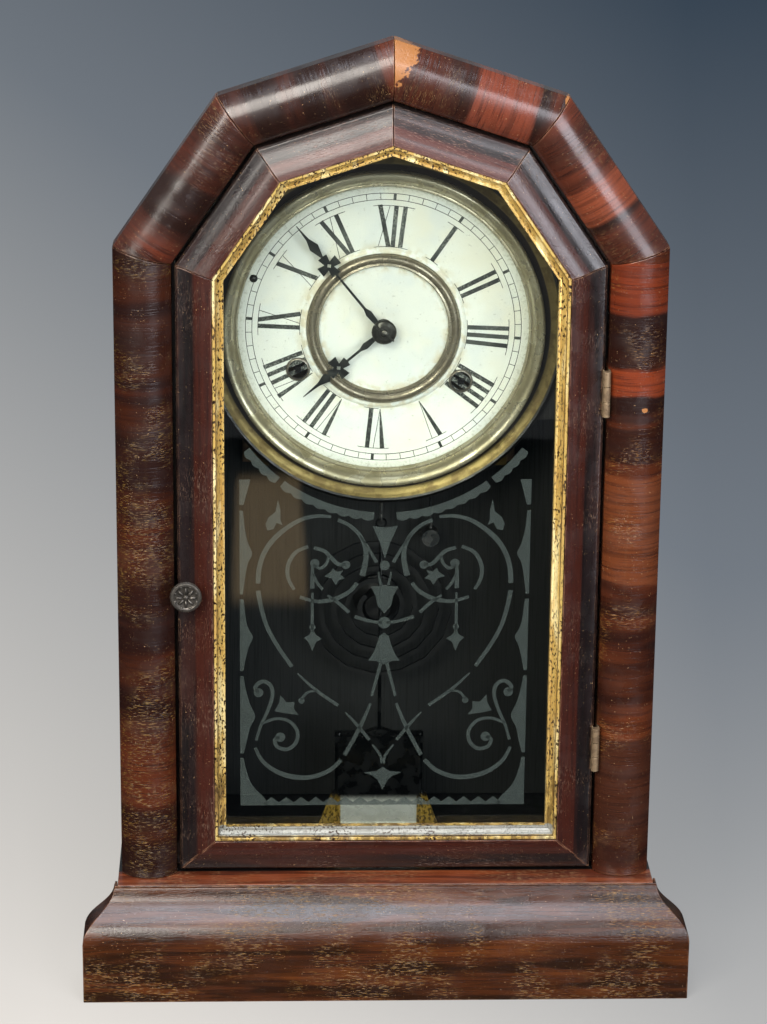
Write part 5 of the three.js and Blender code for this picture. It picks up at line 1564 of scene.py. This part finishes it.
@dataclass
class Studio:
    """Plain pale floor, soft lamps and the camera at the photograph's angle. Sizes in metres."""

    eye: Triple = (-0.0554, -1.40545, 0.6757)
    yaw: float = 2.21
    pitch: float = 18.355
    roll: float = 0.598
    lens: float = 117.71
    sensor: float = 36.0
    floor_front: float = -0.85
    floor_back: float = 3.2
    floor_half: float = 2.6
    near_far: Point = (0.755, 0.2516)  # one over the distance ahead, where the floor's shade starts and ends
    half_view: float = 0.114  # half the width of the view, as a share of the distance ahead
    darkening: Point = (0.65, 0.35)  # how much of the shade comes from going back, and from going right
    glow: float = 0.8  # share of the floor's colour that doesn't depend on the lamps
    card_x: Triple = (-50.0, 22.0, 3.0)  # middle, half width and softness of a warm card, in millimetres
    card_y: Triple = (-640.0, 120.0, 20.0)
    room_glow: float = 1.8  # strength of the dark room and the card, which only glossy rays see

    def build(self) -> None:
        """Makes the stage, the lamps and the camera."""
        scene = bpy.context.scene
        scene.view_settings.view_transform = "Standard"
        self._floor()
        self._world(scene)
        Softbox("key_softbox", (-0.7, -1.5, 1.2), 0.22, 1.1, 60.0, "#fff8ef").hang()
        Softbox("fill_softbox", (0.9, -1.6, 0.7), 0.2, 1.1, 34.0, "#f6f6ff").hang()
        Softbox("top_softbox", (0.0, -0.5, 1.55), 0.25, 0.62, 12.0, "#f0f4ff").hang()
        self._camera(scene)

    def _floor(self) -> None:
        """A wide floor, warm grey in front and slate far behind, that keeps the clock's shadow."""
        corners = [(-1, self.floor_front), (1, self.floor_front), (1, self.floor_back), (-1, self.floor_back)]
        mesh = bpy.data.meshes.new("pale_floor")
        mesh.from_pydata([(side * self.floor_half, y, 0.0) for side, y in corners], [], [(0, 1, 2, 3)])
        floor = placed("pale_floor", mesh)
        mesh.materials.append(self._backdrop())

    def _backdrop(self) -> Material:
        """The floor's paint: one even shade change from front left to back right, dark in reflections.

        Returns:
            The material.
        """
        surface = Surface("painted_backdrop")
        shade = self._shade(surface)
        rays = surface.node("LightPath").outputs
        direct = {0: rays["Is Camera Ray"], 1: rays["Is Transmission Ray"]}
        seen = surface.node("Math", {"operation": "MAXIMUM"}, direct).outputs[0]
        glow = surface.node("Emission", None, {"Color": shade, "Strength": 1.0}).outputs[0]
        matt = surface.node("BsdfDiffuse", None, {"Color": shade}).outputs[0]
        paint_and_glow = {0: surface.times(seen, self.glow), 1: matt, 2: glow}
        mixed = surface.node("MixShader", None, paint_and_glow).outputs[0]
        card = surface.times(surface.band("X", *self.card_x), surface.band("Y", *self.card_y))
        room = surface.layers("#10171c", (card, "#d8b88c"))
        mirror = surface.node("Emission", None, {"Color": room, "Strength": self.room_glow}).outputs[0]
        both = {0: rays["Is Glossy Ray"], 1: mixed, 2: mirror}
        return surface.replace_shader(surface.node("MixShader", None, both).outputs[0])

    def _shade(self, surface: Surface) -> Any:
        """The floor's colour, darker towards the back and the right.

        Args:
            surface: The floor's material in the making.

        Returns:
            The colour.
        """
        ahead = {0: surface.axis("Y"), 1: -self.eye[1]}
        apart = surface.node("Math", {"operation": "ADD"}, ahead).outputs[0]
        held = surface.node("Math", {"operation": "MAXIMUM"}, {0: apart, 1: 1.0}).outputs[0]
        near = surface.node("Math", {"operation": "DIVIDE"}, {0: 1.0, 1: held}).outputs[0]
        side = surface.times(surface.axis("X"), near)
        edge = self.half_view
        parts = [
            surface.node("MapRange", {"clamp": True}, {"Value": value, 1: low, 2: high, 4: share})
            for value, low, high, share in (
                (near, *self.near_far, self.darkening[0]), (side, -edge, edge, self.darkening[1]),
            )
        ]
        both = {i: part.outputs[0] for i, part in enumerate(parts)}
        total = surface.node("Math", {"operation": "ADD"}, both).outputs[0]
        shade = surface.node("ValToRGB", None, {0: total})
        stops = ((0.0, "#d9d5cf"), (0.33, "#afafae"), (0.65, "#767d85"), (1.0, "#3d4a58"))
        ramp = shade.color_ramp
        while len(ramp.elements) < len(stops):
            ramp.elements.new(0.5)
        for element, (place, code) in zip(ramp.elements, stops):
            element.position = place
            element.color = linear(code)
        return shade.outputs[0]

    def _world(self, scene: bpy.types.Scene) -> None:
        """Even, fairly dim daylight from all round.

        Args:
            scene: The scene that gets it.
        """
        world = bpy.data.worlds.new("soft_daylight")
        world.use_nodes = True
        sky = world.node_tree.nodes["Background"]
        sky.inputs["Color"].default_value = linear("#c3c9d0")
        sky.inputs["Strength"].default_value = 0.38
        scene.world = world

    def _camera(self, scene: bpy.types.Scene) -> None:
        """The camera, with its turn worked out from yaw, pitch and roll.

        Args:
            scene: The scene that gets it.
        """
        yaw, pitch, roll = (math.radians(v) for v in (self.yaw, self.pitch, self.roll))
        ahead = Vector((math.sin(yaw) * math.cos(pitch), math.cos(yaw) * math.cos(pitch), -math.sin(pitch)))
        level = Vector((math.cos(yaw), -math.sin(yaw), 0.0))
        upright = level.cross(ahead)
        right = level * math.cos(roll) + upright * math.sin(roll)
        above = upright * math.cos(roll) - level * math.sin(roll)
        lens = bpy.data.cameras.new("camera")
        lens.sensor_width = self.sensor
        lens.lens = self.lens
        lens.clip_start = 0.05
        lens.clip_end = 20.0
        camera = placed("camera", lens)
        turn = Matrix((right, above, -ahead)).transposed().to_4x4()
        camera.matrix_world = Matrix.Translation(self.eye) @ turn
        scene.camera = camera


def main() -> None:
    """Builds the clock's parts in order and reports each."""
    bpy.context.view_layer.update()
    for name, step in (
        ("studio", Studio().build),
        ("case joinery", CaseJoinery().dress),
        ("door frame", DoorFrame().dress),
        ("stencilled glass", StencilledGlass().build),
        ("dial", DialFace().build),
        ("hardware", Hardware().build),
        ("movement", Movement().build),
    ):
        step()
        LOG.info("%s done", name)


if __name__ == "__main__":
    main()
